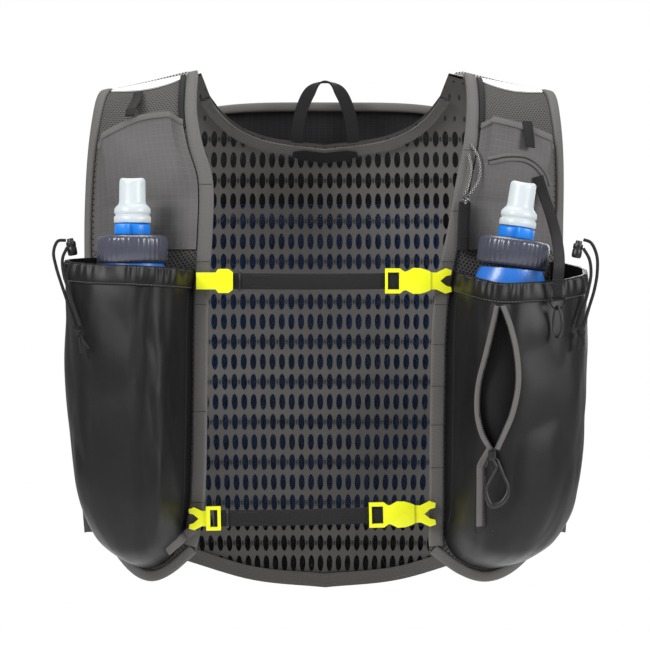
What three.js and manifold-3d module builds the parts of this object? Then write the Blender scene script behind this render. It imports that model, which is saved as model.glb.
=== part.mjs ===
// Running hydration vest, shown as worn: millimetres, +Z up, the front faces -Y.
// The origin lies midway between the shoulder straps, level with their crest, where the
// vest sits on the wearer. "left" is -X and "right" is +X, as seen from the front.
import * as THREE from "three";
import { mergeVertices } from "three/addons/utils/BufferGeometryUtils.js";
import Module from "manifold-3d";

const wasm = await Module();
wasm.setup();

// Driving dimensions
const GAP = 0.3; // between touching pieces
const VEST_LENGTH = 400; // crest to the level of the lowest hem
const HALF_WIDTH = 195; // wearer's trunk inside the vest, half across
const FRONT_DEPTH = 125; // crest line to the chest
const BACK_DEPTH = 108; // crest line to the back
const CREST_SLOPE = 0.27; // fall of the shoulder for each mm outward
const CREST_START = 96; // where the shoulder begins to fall
const PANEL_WALL = 2.4; // mesh and backing of a harness panel
const NET_WALL = 2; // cut mesh of the back
const LINER_WALL = 1.4;
const SHELL_WALL = 1.6;
const POCKET_WALL = 1.4;
const TRIM_WALL = 1.6; // bindings, tapes and webbing
const BINDING_WIDTH = 8;
const EDGE_TAPE_WIDTH = 11;
const HEM_WIDTH = 15;
const STRAP_WIDTH = 12;
const STRAP_WALL = 1.8;
const UPPER_STRAP_Z = -0.41 * VEST_LENGTH;
const LOWER_STRAP_Z = -0.85 * VEST_LENGTH;
const BUCKLE_WALL = 6;
const FLASK_LENGTH = 192;
const CAP_DIAMETER = 54;
const CAP_HEIGHT = 21;
const VALVE_DIAMETER = 19.5;
const VALVE_HEIGHT = 34;
const LEVER_DIAMETER = 27;
const LEVER_HEIGHT = 9;
const RESERVOIR_WIDTH = 190;
const RESERVOIR_LENGTH = 0.59 * VEST_LENGTH;
const RESERVOIR_THICKNESS = 16;
const LOOP_WIDTH = 56;
const LOOP_HEIGHT = 52;
const LOOP_WEBBING = 10;
const NET_COLUMNS = 10;
const NET_ROWS = 8;
const NET_STRAND = 0.36; // share of a pitch that is strand
const CORD_DIAMETER = 2.4;
const THIN_CORD = 1.8;
const KEY_RING_DIAMETER = 11;
const KEY_STRAP_WIDTH = 7.6;
// Small trims are placed on a vest 195 across and 400 long, and keep their shares of both
const ACROSS = HALF_WIDTH / 195;
const DOWN = VEST_LENGTH / 400;

const COLOURS = {
  mesh: 0x4b4947, black: 0x1a1a1c, binding: 0x545252, pocket: 0x222121, grey: 0x4e4c4a,
  blue: 0x22406e, yellow: 0xf0f01a, cap: 0x3c3e4e, milky: 0xc8d2d4, lever: 0x1482e1,
  white: 0xe4e4e2, cord: 0x262626,
};

// Trunk levels: shares of VEST_LENGTH, FRONT_DEPTH, BACK_DEPTH and HALF_WIDTH
const LEVELS = [
  { at: 0.0, drop: 0.0, front: 0.0, back: 0.0, width: 0.97 },
  { at: 0.05, drop: 0.008, front: 0.2, back: 0.2, width: 0.98 },
  { at: 0.1, drop: 0.036, front: 0.41, back: 0.41, width: 0.99 },
  { at: 0.16, drop: 0.09, front: 0.61, back: 0.62, width: 1.0 },
  { at: 0.24, drop: 0.175, front: 0.79, back: 0.81, width: 1.0 },
  { at: 0.35, drop: 0.3, front: 0.91, back: 0.95, width: 1.0 },
  { at: 0.5, drop: 0.47, front: 0.98, back: 1.0, width: 1.0 },
  { at: 0.75, drop: 0.75, front: 1.0, back: 0.95, width: 0.98 },
  { at: 1.0, drop: 1.0, front: 0.97, back: 0.86, width: 0.94 },
  { at: 1.1, drop: 1.1, front: 0.95, back: 0.82, width: 0.92 },
];
const SECTION_POWER = 2.8;

// Value of a table's column at a key, by a smooth monotone curve
function lookUp(table, key, column, at) {
  const last = table.length - 1;
  if (at <= table[0][key]) return table[0][column];
  if (at >= table[last][key]) return table[last][column];
  let i = 0;
  while (at > table[i + 1][key]) i += 1;
  const slope = (k) => {
    const a = table[Math.max(0, k - 1)];
    const b = table[Math.min(last, k + 1)];
    return (b[column] - a[column]) / (b[key] - a[key]);
  };
  const span = table[i + 1][key] - table[i][key];
  const t = (at - table[i][key]) / span;
  const [p, q] = [table[i][column], table[i + 1][column]];
  const [m, n] = [slope(i) * span, slope(i + 1) * span];
  const [t2, t3] = [t * t, t * t * t];
  return (2 * t3 - 3 * t2 + 1) * p + (t3 - 2 * t2 + t) * m + (3 * t2 - 2 * t3) * q + (t3 - t2) * n;
}

const vec = (x, y, z) => new THREE.Vector3(x, y, z);

// Point on the trunk: x across, at = level, side = -1 for the front and +1 for the back
function trunk(x, at, side) {
  const half = HALF_WIDTH * lookUp(LEVELS, "at", "width", at);
  const depth = side < 0
    ? FRONT_DEPTH * lookUp(LEVELS, "at", "front", at)
    : BACK_DEPTH * lookUp(LEVELS, "at", "back", at);
  const share = Math.min(1, Math.abs(x) / half);
  const reach = (1 - share ** SECTION_POWER) ** (1 / SECTION_POWER);
  const fall = CREST_SLOPE * Math.max(0, Math.abs(x) - CREST_START);
  const fade = Math.max(0, 1 - at / 0.3);
  const z = -VEST_LENGTH * lookUp(LEVELS, "at", "drop", at) - fall * fade * fade;
  return vec(x, side * depth * reach, z);
}

// Outward direction of the trunk there
function outward(x, at, side) {
  const e = 0.004;
  const inside = Math.abs(x) < 0.97 * HALF_WIDTH ? x : Math.sign(x) * 0.97 * HALF_WIDTH;
  const across = trunk(inside + 1, at, side).sub(trunk(inside - 1, at, side));
  const down = trunk(inside, at + e, side).sub(trunk(inside, Math.max(0, at - e), side));
  const normal = across.cross(down).normalize();
  return side < 0 ? normal.negate() : normal;
}

// Level whose height is z at x
function levelAt(x, z, side = -1) {
  let [low, high] = [0, 1.1];
  for (let i = 0; i < 40; i += 1) {
    const mid = (low + high) / 2;
    if (trunk(x, mid, side).z > z) low = mid;
    else high = mid;
  }
  return (low + high) / 2;
}

// Point lifted off the trunk
function lifted(x, at, side, lift) {
  return trunk(x, at, side).addScaledVector(outward(x, at, side), lift);
}

// Closed solid from rows of vertex rings: each ring is a closed loop of points
function loft(rings, closed = false) {
  const sides = rings[0].length;
  const positions = rings.flat().flatMap((p) => [p.x, p.y, p.z]);
  const faces = [];
  const count = closed ? rings.length : rings.length - 1;
  for (let i = 0; i < count; i += 1) {
    const a = i * sides;
    const b = ((i + 1) % rings.length) * sides;
    for (let j = 0; j < sides; j += 1) {
      const k = (j + 1) % sides;
      faces.push(a + j, b + j, b + k, a + j, b + k, a + k);
    }
  }
  if (!closed) {
    const end = (rings.length - 1) * sides;
    for (let j = 1; j < sides - 1; j += 1) {
      faces.push(0, j, j + 1, end, end + j + 1, end + j);
    }
  }
  return finish(positions, faces);
}

// Geometry with its faces pointing out
function finish(positions, faces) {
  const geometry = new THREE.BufferGeometry();
  geometry.setAttribute("position", new THREE.Float32BufferAttribute(positions, 3));
  geometry.setIndex(faces);
  return volume(geometry) < 0 ? flipped(geometry) : geometry;
}

function volume(geometry) {
  const [p, index] = [geometry.attributes.position, geometry.index];
  const [a, b, c] = [vec(), vec(), vec()];
  let sum = 0;
  for (let i = 0; i < index.count; i += 3) {
    a.fromBufferAttribute(p, index.getX(i));
    b.fromBufferAttribute(p, index.getX(i + 1));
    c.fromBufferAttribute(p, index.getX(i + 2));
    sum += a.dot(b.cross(c));
  }
  return sum / 6;
}

function flipped(geometry) {
  const index = Array.from(geometry.index.array);
  for (let i = 0; i < index.length; i += 3) {
    [index[i + 1], index[i + 2]] = [index[i + 2], index[i + 1]];
  }
  geometry.setIndex(index);
  return geometry;
}

// Cloth wall: surface(u, v, lift) over a grid, from lift 0 to the wall, with cells left open by hole(i, j)
function cloth(surface, columns, rows, wall, hole = () => false) {
  const positions = [];
  const faces = [];
  const at = (i, j, k) => (k * (rows + 1) + j) * (columns + 1) + i;
  for (let k = 0; k < 2; k += 1) {
    for (let j = 0; j <= rows; j += 1) {
      for (let i = 0; i <= columns; i += 1) {
        const p = surface(i / columns, j / rows, k * wall, i, j);
        positions.push(p.x, p.y, p.z);
      }
    }
  }
  const open = (i, j) => i < 0 || j < 0 || i >= columns || j >= rows || hole(i, j);
  const wallFace = (a, b) => {
    const [c, d] = [a + (rows + 1) * (columns + 1), b + (rows + 1) * (columns + 1)];
    faces.push(a, b, d, a, d, c);
  };
  for (let j = 0; j < rows; j += 1) {
    for (let i = 0; i < columns; i += 1) {
      if (open(i, j)) continue;
      const [a, b, c, d] = [at(i, j, 0), at(i + 1, j, 0), at(i + 1, j + 1, 0), at(i, j + 1, 0)];
      faces.push(a, c, b, a, d, c);
      const [e, f, g, h] = [at(i, j, 1), at(i + 1, j, 1), at(i + 1, j + 1, 1), at(i, j + 1, 1)];
      faces.push(e, f, g, e, g, h);
      if (open(i, j - 1)) wallFace(a, b);
      if (open(i + 1, j)) wallFace(b, c);
      if (open(i, j + 1)) wallFace(c, d);
      if (open(i - 1, j)) wallFace(d, a);
    }
  }
  return finish(positions, faces);
}

// Flat strip along stations of { centre, wide, normal }, width by height
function ribbon(stations, width, height, closed = false) {
  const rings = stations.map(({ centre, wide, normal, width: own }) => {
    const half = (own ?? width) / 2;
    return [[-1, 0], [1, 0], [1, 1], [-1, 1]].map(([s, h]) => centre.clone()
      .addScaledVector(wide, s * half).addScaledVector(normal, h * height));
  });
  return loft(rings, closed);
}

// Strip lying on the trunk along a path of { x, at, side }, at a lift
function trimOnTrunk(path, width, height, lift, closed = false) {
  const points = path.map(({ x, at, side }) => trunk(x, at, side));
  const stations = path.map(({ x, at, side }, i) => {
    const before = points[closed ? (i + path.length - 1) % path.length : Math.max(0, i - 1)];
    const after = points[closed ? (i + 1) % path.length : Math.min(path.length - 1, i + 1)];
    const along = after.clone().sub(before).normalize();
    const normal = outward(x, at, side);
    const wide = along.clone().cross(normal).normalize();
    return { centre: points[i].clone().addScaledVector(normal, lift), wide, normal };
  });
  return ribbon(stations, width, height, closed);
}

// Cord: a round tube along points
function cord(points, diameter, sides = 8) {
  const curve = new THREE.CatmullRomCurve3(points, false, "centripetal");
  const steps = Math.max(4, Math.min(80, Math.round(curve.getLength() / (3 * diameter))));
  const shape = new THREE.Shape();
  for (let i = 0; i < sides; i += 1) {
    const turn = (2 * Math.PI * i) / sides;
    const [x, y] = [(diameter / 2) * Math.cos(turn), (diameter / 2) * Math.sin(turn)];
    if (i === 0) shape.moveTo(x, y);
    else shape.lineTo(x, y);
  }
  shape.closePath();
  return new THREE.ExtrudeGeometry(shape, { steps, bevelEnabled: false, extrudePath: curve });
}

const lathe = (rows, sides) => {
  const profile = rows.map(([r, z]) => new THREE.Vector2(r, z));
  return new THREE.LatheGeometry(profile, sides).rotateX(Math.PI / 2);
};

function bare(geometry) {
  const plain = geometry.clone();
  for (const name of Object.keys(plain.attributes)) if (name !== "position") plain.deleteAttribute(name);
  return mergeVertices(plain, 1e-3);
}

function solid(geometry) {
  const plain = bare(geometry);
  return new wasm.Manifold(new wasm.Mesh({
    numProp: 3,
    vertProperties: new Float32Array(plain.attributes.position.array),
    triVerts: new Uint32Array(plain.index.array),
  }));
}

function shown(body) {
  const mesh = body.getMesh();
  const geometry = new THREE.BufferGeometry();
  geometry.setAttribute("position", new THREE.Float32BufferAttribute(mesh.vertProperties, 3));
  geometry.setIndex(Array.from(mesh.triVerts));
  return geometry;
}

const joined = (...geometries) => shown(geometries.map(solid).reduce((a, b) => a.add(b)));
const cutBy = (geometry, ...tools) => shown(tools.reduce((a, b) => a.subtract(solid(b)), solid(geometry)));

const vest = new THREE.Group();
function piece(name, geometry, colour, { roughness = 0.8, metalness = 0, parent = vest } = {}) {
  const material = new THREE.MeshStandardMaterial({ color: COLOURS[colour], roughness, metalness });
  const mesh = new THREE.Mesh(geometry, material);
  mesh.name = name;
  parent.add(mesh);
  return mesh;
}

// Edges of the two front panels by level, as shares of HALF_WIDTH
const FRONT_EDGES = {
  left: [
    { at: 0.0, inner: 0.51, outer: 0.872 }, { at: 0.08, inner: 0.507, outer: 0.9 },
    { at: 0.16, inner: 0.503, outer: 0.915 }, { at: 0.22, inner: 0.478, outer: 0.925 },
    { at: 0.28, inner: 0.436, outer: 0.932 }, { at: 0.36, inner: 0.434, outer: 0.936 },
    { at: 0.48, inner: 0.449, outer: 0.93 }, { at: 0.65, inner: 0.453, outer: 0.915 },
    { at: 0.82, inner: 0.463, outer: 0.885 }, { at: 0.9, inner: 0.49, outer: 0.85 },
    { at: 1.0, inner: 0.54, outer: 0.8 },
  ],
  right: [
    { at: 0.0, inner: 0.555, outer: 0.89 }, { at: 0.08, inner: 0.56, outer: 0.915 },
    { at: 0.16, inner: 0.556, outer: 0.925 }, { at: 0.22, inner: 0.54, outer: 0.93 },
    { at: 0.28, inner: 0.51, outer: 0.93 }, { at: 0.36, inner: 0.475, outer: 0.925 },
    { at: 0.48, inner: 0.42, outer: 0.92 }, { at: 0.65, inner: 0.405, outer: 0.91 },
    { at: 0.82, inner: 0.402, outer: 0.885 }, { at: 0.9, inner: 0.4, outer: 0.85 },
    { at: 1.0, inner: 0.43, outer: 0.8 },
  ],
};
// Lower edge of a front panel by share of its width: level
const FRONT_HEM = [
  { across: 0.0, at: 0.915 }, { across: 0.25, at: 0.958 }, { across: 0.5, at: 0.974 },
  { across: 0.75, at: 0.955 }, { across: 1.0, at: 0.895 },
];
const SIDES = [
  { name: "left", sign: -1, lean: 0, turn: 17, zipped: false },
  { name: "right", sign: 1, lean: 5, turn: 17, zipped: true },
];
const CREST_AT = 0.0025;
const ARMHOLE_AT = 0.5; // level of the armhole's lowest point
const BACK_EDGE = [
  { at: 0.0, outer: 0.88 }, { at: 0.1, outer: 0.905 }, { at: 0.3, outer: 0.93 },
  { at: 0.5, outer: 0.93 }, { at: 0.8, outer: 0.9 }, { at: 1.1, outer: 0.84 },
];
// Neckline of the back by distance from the middle: height below the crest, as share of VEST_LENGTH
const NECKLINE = [
  { across: 0.0, drop: 0.13 }, { across: 0.23, drop: 0.115 }, { across: 0.35, drop: 0.094 },
  { across: 0.42, drop: 0.07 }, { across: 0.475, drop: 0.04 }, { across: 0.515, drop: 0.006 },
];
// Lower edge of the back by distance from the middle
const BACK_HEM = [
  { across: 0.0, drop: 1.027 }, { across: 0.3, drop: 1.012 }, { across: 0.55, drop: 0.975 },
  { across: 0.8, drop: 0.93 }, { across: 1.0, drop: 0.9 },
];

const innerEdge = (side, at) => side.sign * HALF_WIDTH * lookUp(FRONT_EDGES[side.name], "at", "inner", at);
const outerEdge = (side, at) => side.sign * HALF_WIDTH * lookUp(FRONT_EDGES[side.name], "at", "outer", at);
const backEdge = (at) => HALF_WIDTH * lookUp(BACK_EDGE, "at", "outer", at);
const mix = (a, b, t) => a + (b - a) * t;
const TAPE_LIFT = PANEL_WALL + GAP;
const BEND_ROOM = 0.95; // extra clearance of flat trim on a curved panel

const TRIM_LIFT = TAPE_LIFT + BEND_ROOM;

// Harness panels: mesh over the shoulder and down the front
for (const side of SIDES) {
  const panel = (u, v, lift) => {
    const at = mix(CREST_AT, lookUp(FRONT_HEM, "across", "at", u), v ** 1.15);
    return lifted(mix(innerEdge(side, at), outerEdge(side, at), u), at, -1, lift);
  };
  piece(`${side.name}_harness`, cloth(panel, 6, 12, PANEL_WALL), "mesh");
}

// Back: cut mesh, its backing, the outer shell of the sleeve and their bindings
function backTop(x) {
  const across = Math.abs(x) / HALF_WIDTH;
  if (across >= NECKLINE[NECKLINE.length - 1].across) return CREST_AT;
  return levelAt(x, -VEST_LENGTH * lookUp(NECKLINE, "across", "drop", across), 1);
}
const backBottom = (x) => levelAt(x, -VEST_LENGTH
  * lookUp(BACK_HEM, "across", "drop", Math.abs(x) / HALF_WIDTH), 1);

function backPoint(u, v, lift, inset = 0) {
  const topX = u * (backEdge(0) - inset);
  const lowX = u * (backEdge(1) - inset);
  const at = mix(backTop(topX), backBottom(lowX), v);
  return lifted(u * (backEdge(at) - inset), at, 1, lift);
}
const CREST_CROWDING = 1.25; // rows lie closer where the cloth bends over the shoulder
// Share of a run of holes and strands at its index-th line
function netLine(index, holes) {
  const strand = NET_STRAND;
  const pitches = Math.floor(index / 2) + (index % 2 ? strand : 0);
  return pitches / (holes + strand);
}
const net = (u, v, lift, i, j) => backPoint(2 * netLine(i, NET_COLUMNS) - 1,
  netLine(j, NET_ROWS) ** CREST_CROWDING, lift);
piece("back_mesh", cloth(net, 2 * NET_COLUMNS + 1, 2 * NET_ROWS + 1, NET_WALL,
  (i, j) => i % 2 === 1 && j % 2 === 1), "mesh");
const LINER_LIFT = NET_WALL + GAP + 4.5 * BEND_ROOM;
piece("back_liner", cloth((u, v, lift) => backPoint(2 * u - 1, mix(0.035, 0.985, v ** CREST_CROWDING),
  LINER_LIFT + 10 * BEND_ROOM * Math.max(0, 1 - v / 0.33) + lift, BINDING_WIDTH + 3), 11, 10, LINER_WALL), "black");

const RESERVOIR_LIFT = LINER_LIFT + LINER_WALL + GAP + 4.5 * BEND_ROOM;
const RESERVOIR_TOP = 0.31; // level of its upper edge
const reservoirBottom = RESERVOIR_TOP + RESERVOIR_LENGTH / VEST_LENGTH;
function reservoirPoint(u, v, face) {
  const [a, b] = [2 * u - 1, 2 * v - 1];
  const full = Math.sqrt(Math.max(0, (1 - a ** 4) * (1 - b ** 6)));
  const at = mix(RESERVOIR_TOP, reservoirBottom, v);
  const lift = face ? 2 + (RESERVOIR_THICKNESS - 2) * full : 0;
  return lifted((a * RESERVOIR_WIDTH) / 2, at, 1, RESERVOIR_LIFT + lift);
}
piece("reservoir", cloth((u, v, lift) => reservoirPoint(u, v, lift > 0), 8, 9, 1), "blue", { roughness: 0.4 });

const SHELL_SPACE = RESERVOIR_LIFT + RESERVOIR_THICKNESS + 3;
const SHELL_ROWS = 7;
const SHELL_TOP_Z = -19; // open upper edge of the sleeve
const SHELL_HALF = 150;
const SHELL_MOUTH = 26; // how far the mouth stands behind the back
function shellPoint(u, v, lift) {
  const a = 2 * u - 1;
  const top = levelAt(a * SHELL_HALF, SHELL_TOP_Z - 26 * a ** 4, 1);
  const at = mix(top, backBottom(a * SHELL_HALF) - 0.012, v ** 1.7);
  const edge = Math.min(1, (1 - Math.abs(a)) / 0.28);
  const low = Math.min(1, (1 - v ** 1.7) / 0.1);
  const rise = Math.sin((edge * Math.PI) / 2) * Math.sin((low * Math.PI) / 2);
  const base = RESERVOIR_LIFT + 4 * GAP;
  const back = SHELL_MOUTH * Math.max(0, 1 - v ** 1.7 / 0.3) ** 2 * Math.sin((edge * Math.PI) / 2);
  return trunk(a * SHELL_HALF, at, 1).add(vec(0, base + back + (SHELL_SPACE - base) * rise + lift, 0));
}
piece("back_shell", cloth(shellPoint, 11, SHELL_ROWS, SHELL_WALL), "black");
// rim of the sleeve's mouth, folded over the shell's upper edge on its inner face
const mouthRow = (1 / SHELL_ROWS) * 0.95;
piece("shell_binding", cloth((u, v, lift) => shellPoint(mix(3 / 11, 8 / 11, u), v * mouthRow,
  lift - GAP - TRIM_WALL), 5, 1, TRIM_WALL), "binding");

const INSIDE = -GAP - TRIM_WALL - BEND_ROOM;
const NECK_LIFT = INSIDE - 3 * BEND_ROOM;
const neckPath = [];
const neckEnd = 0.9 * NECKLINE[NECKLINE.length - 1].across * HALF_WIDTH;
for (let i = 0; i <= 20; i += 1) {
  const x = neckEnd * Math.sin(((i / 10 - 1) * Math.PI) / 2);
  neckPath.push({ x, at: backTop(x * 0.995) + 0.012, side: 1 });
}
piece("neck_binding", trimOnTrunk(neckPath, BINDING_WIDTH, TRIM_WALL, NECK_LIFT), "binding");
const hemPath = [];
for (let i = 0; i <= 18; i += 1) {
  const x = mix(-0.95, 0.95, i / 18) * backEdge(1);
  hemPath.push({ x, at: backBottom(x) - 0.016, side: 1 });
}
piece("bottom_binding", trimOnTrunk(hemPath, BINDING_WIDTH + 3, TRIM_WALL, INSIDE), "binding");

// Plain label at the middle of the neck, over the binding
const labelPath = [-1, -0.5, 0, 0.5, 1].map((t) => (
  { x: t * 20, at: backTop(t * 20) + 0.016, side: 1 }));
piece("neck_label", trimOnTrunk(labelPath, BINDING_WIDTH + 1, 1, NECK_LIFT - GAP - 1), "black");

// Hang loop: webbing that stands up from the neck and turns edge-on at its top
const loopBase = lifted(0, backTop(0), 1, NET_WALL / 2);
const loopStations = [];
for (let i = 0; i <= 16; i += 1) {
  const turn = (i / 16) * Math.PI;
  const c = Math.cos(turn);
  const s = Math.sin(turn);
  const centre = vec(-(LOOP_WIDTH / 2 - LOOP_WEBBING / 2) * c * (1 - 0.12 * s),
    loopBase.y - NET_WALL / 2 - 2 * GAP - TRIM_WALL - 2 - 1.6 * s, loopBase.z + 9 * GAP + LOOP_HEIGHT * s ** 0.8);
  loopStations.push({ centre, lie: s ** 6 });
}
loopStations.forEach((station, i) => {
  const before = loopStations[Math.max(0, i - 1)].centre;
  const after = loopStations[Math.min(16, i + 1)].centre;
  const along = after.clone().sub(before).normalize();
  const flat = along.clone().cross(vec(0, 1, 0)).normalize();
  station.wide = flat.multiplyScalar(1 - station.lie).add(vec(0, station.lie, 0))
    .addScaledVector(along, 0).normalize();
  station.normal = station.wide.clone().cross(along).normalize();
});
const loopY = trunk(0, backTop(0), 1).y + 2 * GAP;
for (const station of loopStations) station.centre.y = loopY;
piece("hang_loop", ribbon(loopStations, LOOP_WEBBING, TRIM_WALL), "black");

// Side wings of mesh below the armholes, from the front panel round to the back
for (const side of SIDES) {
  const wing = (u, v, lift) => {
    const low = mix(lookUp(FRONT_HEM, "across", "at", 1), backBottom(backEdge(1)), u) - 0.01;
    const at = mix(ARMHOLE_AT + 0.02 - 0.02 * Math.sin(Math.PI * u), low, v);
    const half = HALF_WIDTH * lookUp(LEVELS, "at", "width", at) * 0.9995;
    const start = Math.abs(outerEdge(side, at)) + 2 * GAP;
    const end = backEdge(at) + 2 * GAP;
    const turn = 2 * u - 1;
    const [edge, face] = turn < 0 ? [start, -1] : [end, 1];
    const x = mix(half, edge, Math.abs(turn) ** 2.2);
    return lifted(side.sign * x, at, face, lift);
  };
  piece(`${side.name}_side_wing`, cloth(wing, 8, 4, NET_WALL), "mesh");

  // armhole binding: down the front, under the arm and up the back
  const path = [];
  const inset = BINDING_WIDTH / 2 + 1;
  for (let i = 0; i <= 12; i += 1) {
    const at = mix(0.012, ARMHOLE_AT - 0.05, (i / 12) ** 1.4);
    path.push({ x: side.sign * (Math.abs(outerEdge(side, at)) - inset), at, side: -1 });
  }
  const under = HALF_WIDTH * lookUp(LEVELS, "at", "width", ARMHOLE_AT);
  for (const [share, face, drop] of [[0.965, -1, 0.0], [0.993, -1, 0.022], [1, 1, 0.028],
    [0.993, 1, 0.022], [0.965, 1, 0.0]]) {
    path.push({ x: side.sign * under * share, at: ARMHOLE_AT + drop, side: face });
  }
  for (let i = 12; i >= 0; i -= 1) {
    const at = mix(0.012, ARMHOLE_AT - 0.05, (i / 12) ** 1.4);
    path.push({ x: side.sign * (backEdge(at) - inset), at, side: 1 });
  }
  piece(`${side.name}_armhole_binding`, trimOnTrunk(path, BINDING_WIDTH, TRIM_WALL, TRIM_LIFT), "binding");

  // edge tape down the inner edge of the front panel
  const tape = [];
  const tapeLevels = 18;
  for (let i = 0; i <= tapeLevels; i += 1) {
    const at = mix(0.014, lookUp(FRONT_HEM, "across", "at", 0) - 0.01, (i / tapeLevels) ** 1.4);
    tape.push({ x: innerEdge(side, at) + side.sign * (EDGE_TAPE_WIDTH / 2 - 0.5), at, side: -1 });
  }
  piece(`${side.name}_edge_tape`, trimOnTrunk(tape, EDGE_TAPE_WIDTH, TRIM_WALL, TRIM_LIFT), "binding");

  // reflective band over the crest
  const band = (u, v, lift) => {
    const at = mix(0.004, 0.066, v);
    const x = mix(innerEdge(side, at) + side.sign * (EDGE_TAPE_WIDTH + 1),
      outerEdge(side, at) - side.sign * (BINDING_WIDTH + 3), u);
    return lifted(x, at, -1, TAPE_LIFT + lift);
  };
  piece(`${side.name}_reflective_band`, cloth(band, 6, 3, 1.2), "white", { roughness: 0.35 });
}

// Upper pockets: a loose sheet on the panel, open at its upper edge
const TOP_POCKET_DEPTH = 11;
const TOP_POCKET_MOUTH = {
  left: [{ across: 0, at: 0.172 }, { across: 0.5, at: 0.178 }, { across: 1, at: 0.21 }],
  right: [{ across: 0, at: 0.178 }, { across: 0.5, at: 0.19 }, { across: 1, at: 0.21 }],
};
const TOP_POCKET_END = 0.395; // level of its lower edge, behind the bottle pocket
const topPocketEdge = (side, at, u) => mix(innerEdge(side, at) + side.sign * (EDGE_TAPE_WIDTH + 1),
  outerEdge(side, at) - side.sign * (BINDING_WIDTH + 2.5), u);
function topPocketLift(side, x, at) {
  const u = Math.min(1, Math.max(0, (x - topPocketEdge(side, at, 0))
    / (topPocketEdge(side, at, 1) - topPocketEdge(side, at, 0))));
  const top = lookUp(TOP_POCKET_MOUTH[side.name], "across", "at", u);
  const v = Math.min(1, Math.max(0, (at - top) / (TOP_POCKET_END - top)));
  const arch = Math.min(1, 2.6 * Math.sin(Math.PI * u)) ** 1.5;
  return TAPE_LIFT + TOP_POCKET_DEPTH * arch * Math.max(0, 1 - v / 0.62) ** 0.8;
}
function topPocketPoint(side, x, at, lift = 0) {
  return lifted(x, at, -1, topPocketLift(side, x, at) + lift);
}
for (const side of SIDES) {
  const sheet = (u, v, lift) => {
    const at = mix(lookUp(TOP_POCKET_MOUTH[side.name], "across", "at", u), TOP_POCKET_END, v);
    return topPocketPoint(side, topPocketEdge(side, at, u), at, lift);
  };
  piece(`${side.name}_top_pocket`, cloth(sheet, 8, 5, POCKET_WALL), "grey", { roughness: 0.6 });
}

// Bottle pockets: arches of cloth over the flasks, sewn to the panel at both edges
const POCKET_DEPTH = 62;
const LINED_DEPTH = 76; // the pocket with the second compartment
const POCKET_OVERHANG = 25;
const POCKET_FORM = [
  { down: 0, depth: 0.97, over: 0.86, arch: 0.7 }, { down: 0.06, depth: 0.98, over: 0.95, arch: 0.7 },
  { down: 0.3, depth: 1, over: 1, arch: 0.68 }, { down: 0.62, depth: 1, over: 0.92, arch: 0.66 },
  { down: 0.8, depth: 0.97, over: 0.74, arch: 0.66 }, { down: 0.92, depth: 0.8, over: 0.4, arch: 0.7 },
  { down: 0.97, depth: 0.52, over: 0.14, arch: 0.78 }, { down: 1, depth: 0.07, over: 0, arch: 0.85 },
];
const MOUTH = {
  left: [{ across: 0, drop: 0.388 }, { across: 0.5, drop: 0.38 }, { across: 1, drop: 0.364 }],
  right: [{ across: 0, drop: 0.392 }, { across: 0.35, drop: 0.415 }, { across: 0.65, drop: 0.403 },
    { across: 1, drop: 0.372 }],
};
const POCKET_FLOOR = [
  { across: 0, drop: 0.888 }, { across: 0.25, drop: 0.934 }, { across: 0.5, drop: 0.952 },
  { across: 0.75, drop: 0.932 }, { across: 1, drop: 0.872 },
];
const pocketDepth = (side) => (side.zipped ? LINED_DEPTH : POCKET_DEPTH);
const pocketAxes = (side) => {
  const turn = THREE.MathUtils.degToRad(side.turn);
  return [vec(side.sign * Math.cos(turn), Math.sin(turn), 0), vec(side.sign * Math.sin(turn), -Math.cos(turn), 0)];
};
function pocketPoint(side, s, down, lift, { depth = pocketDepth(side), inset = 0, z = null } = {}) {
  const [along, out] = pocketAxes(side);
  const height = z ?? -VEST_LENGTH * mix(lookUp(MOUTH[side.name], "across", "drop", s),
    lookUp(POCKET_FLOOR, "across", "drop", s), down);
  const at = levelAt(100, height);
  const seam = inset + EDGE_TAPE_WIDTH + 1.5;
  const a = lifted(innerEdge(side, at) + side.sign * seam, at, -1, TAPE_LIFT);
  const b = lifted(outerEdge(side, at) - side.sign * (BINDING_WIDTH + 2 + inset), at, -1, TAPE_LIFT);
  const chord = b.clone().sub(a);
  const power = lookUp(POCKET_FORM, "down", "arch", down);
  const turn = Math.PI * s;
  const share = (1 - Math.sign(Math.cos(turn)) * Math.abs(Math.cos(turn)) ** power) / 2;
  const high = Math.max(0, Math.sin(turn)) ** power;
  const over = POCKET_OVERHANG * lookUp(POCKET_FORM, "down", "over", down) * share ** 3 * high;
  const reach = (depth * lookUp(POCKET_FORM, "down", "depth", down) + lift) * high;
  const point = a.addScaledVector(along, -lift + (chord.dot(along) + 2 * lift) * share + over)
    .addScaledVector(out, chord.dot(out) * share + reach);
  return point.setZ(height);
}
const POCKET_COLUMNS = 13;
const POCKET_ROWS = 8;
const evenArch = (u) => 0.5 - 0.5 * Math.sign(0.5 - u) * Math.abs(2 * u - 1) ** 1.15;
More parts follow.
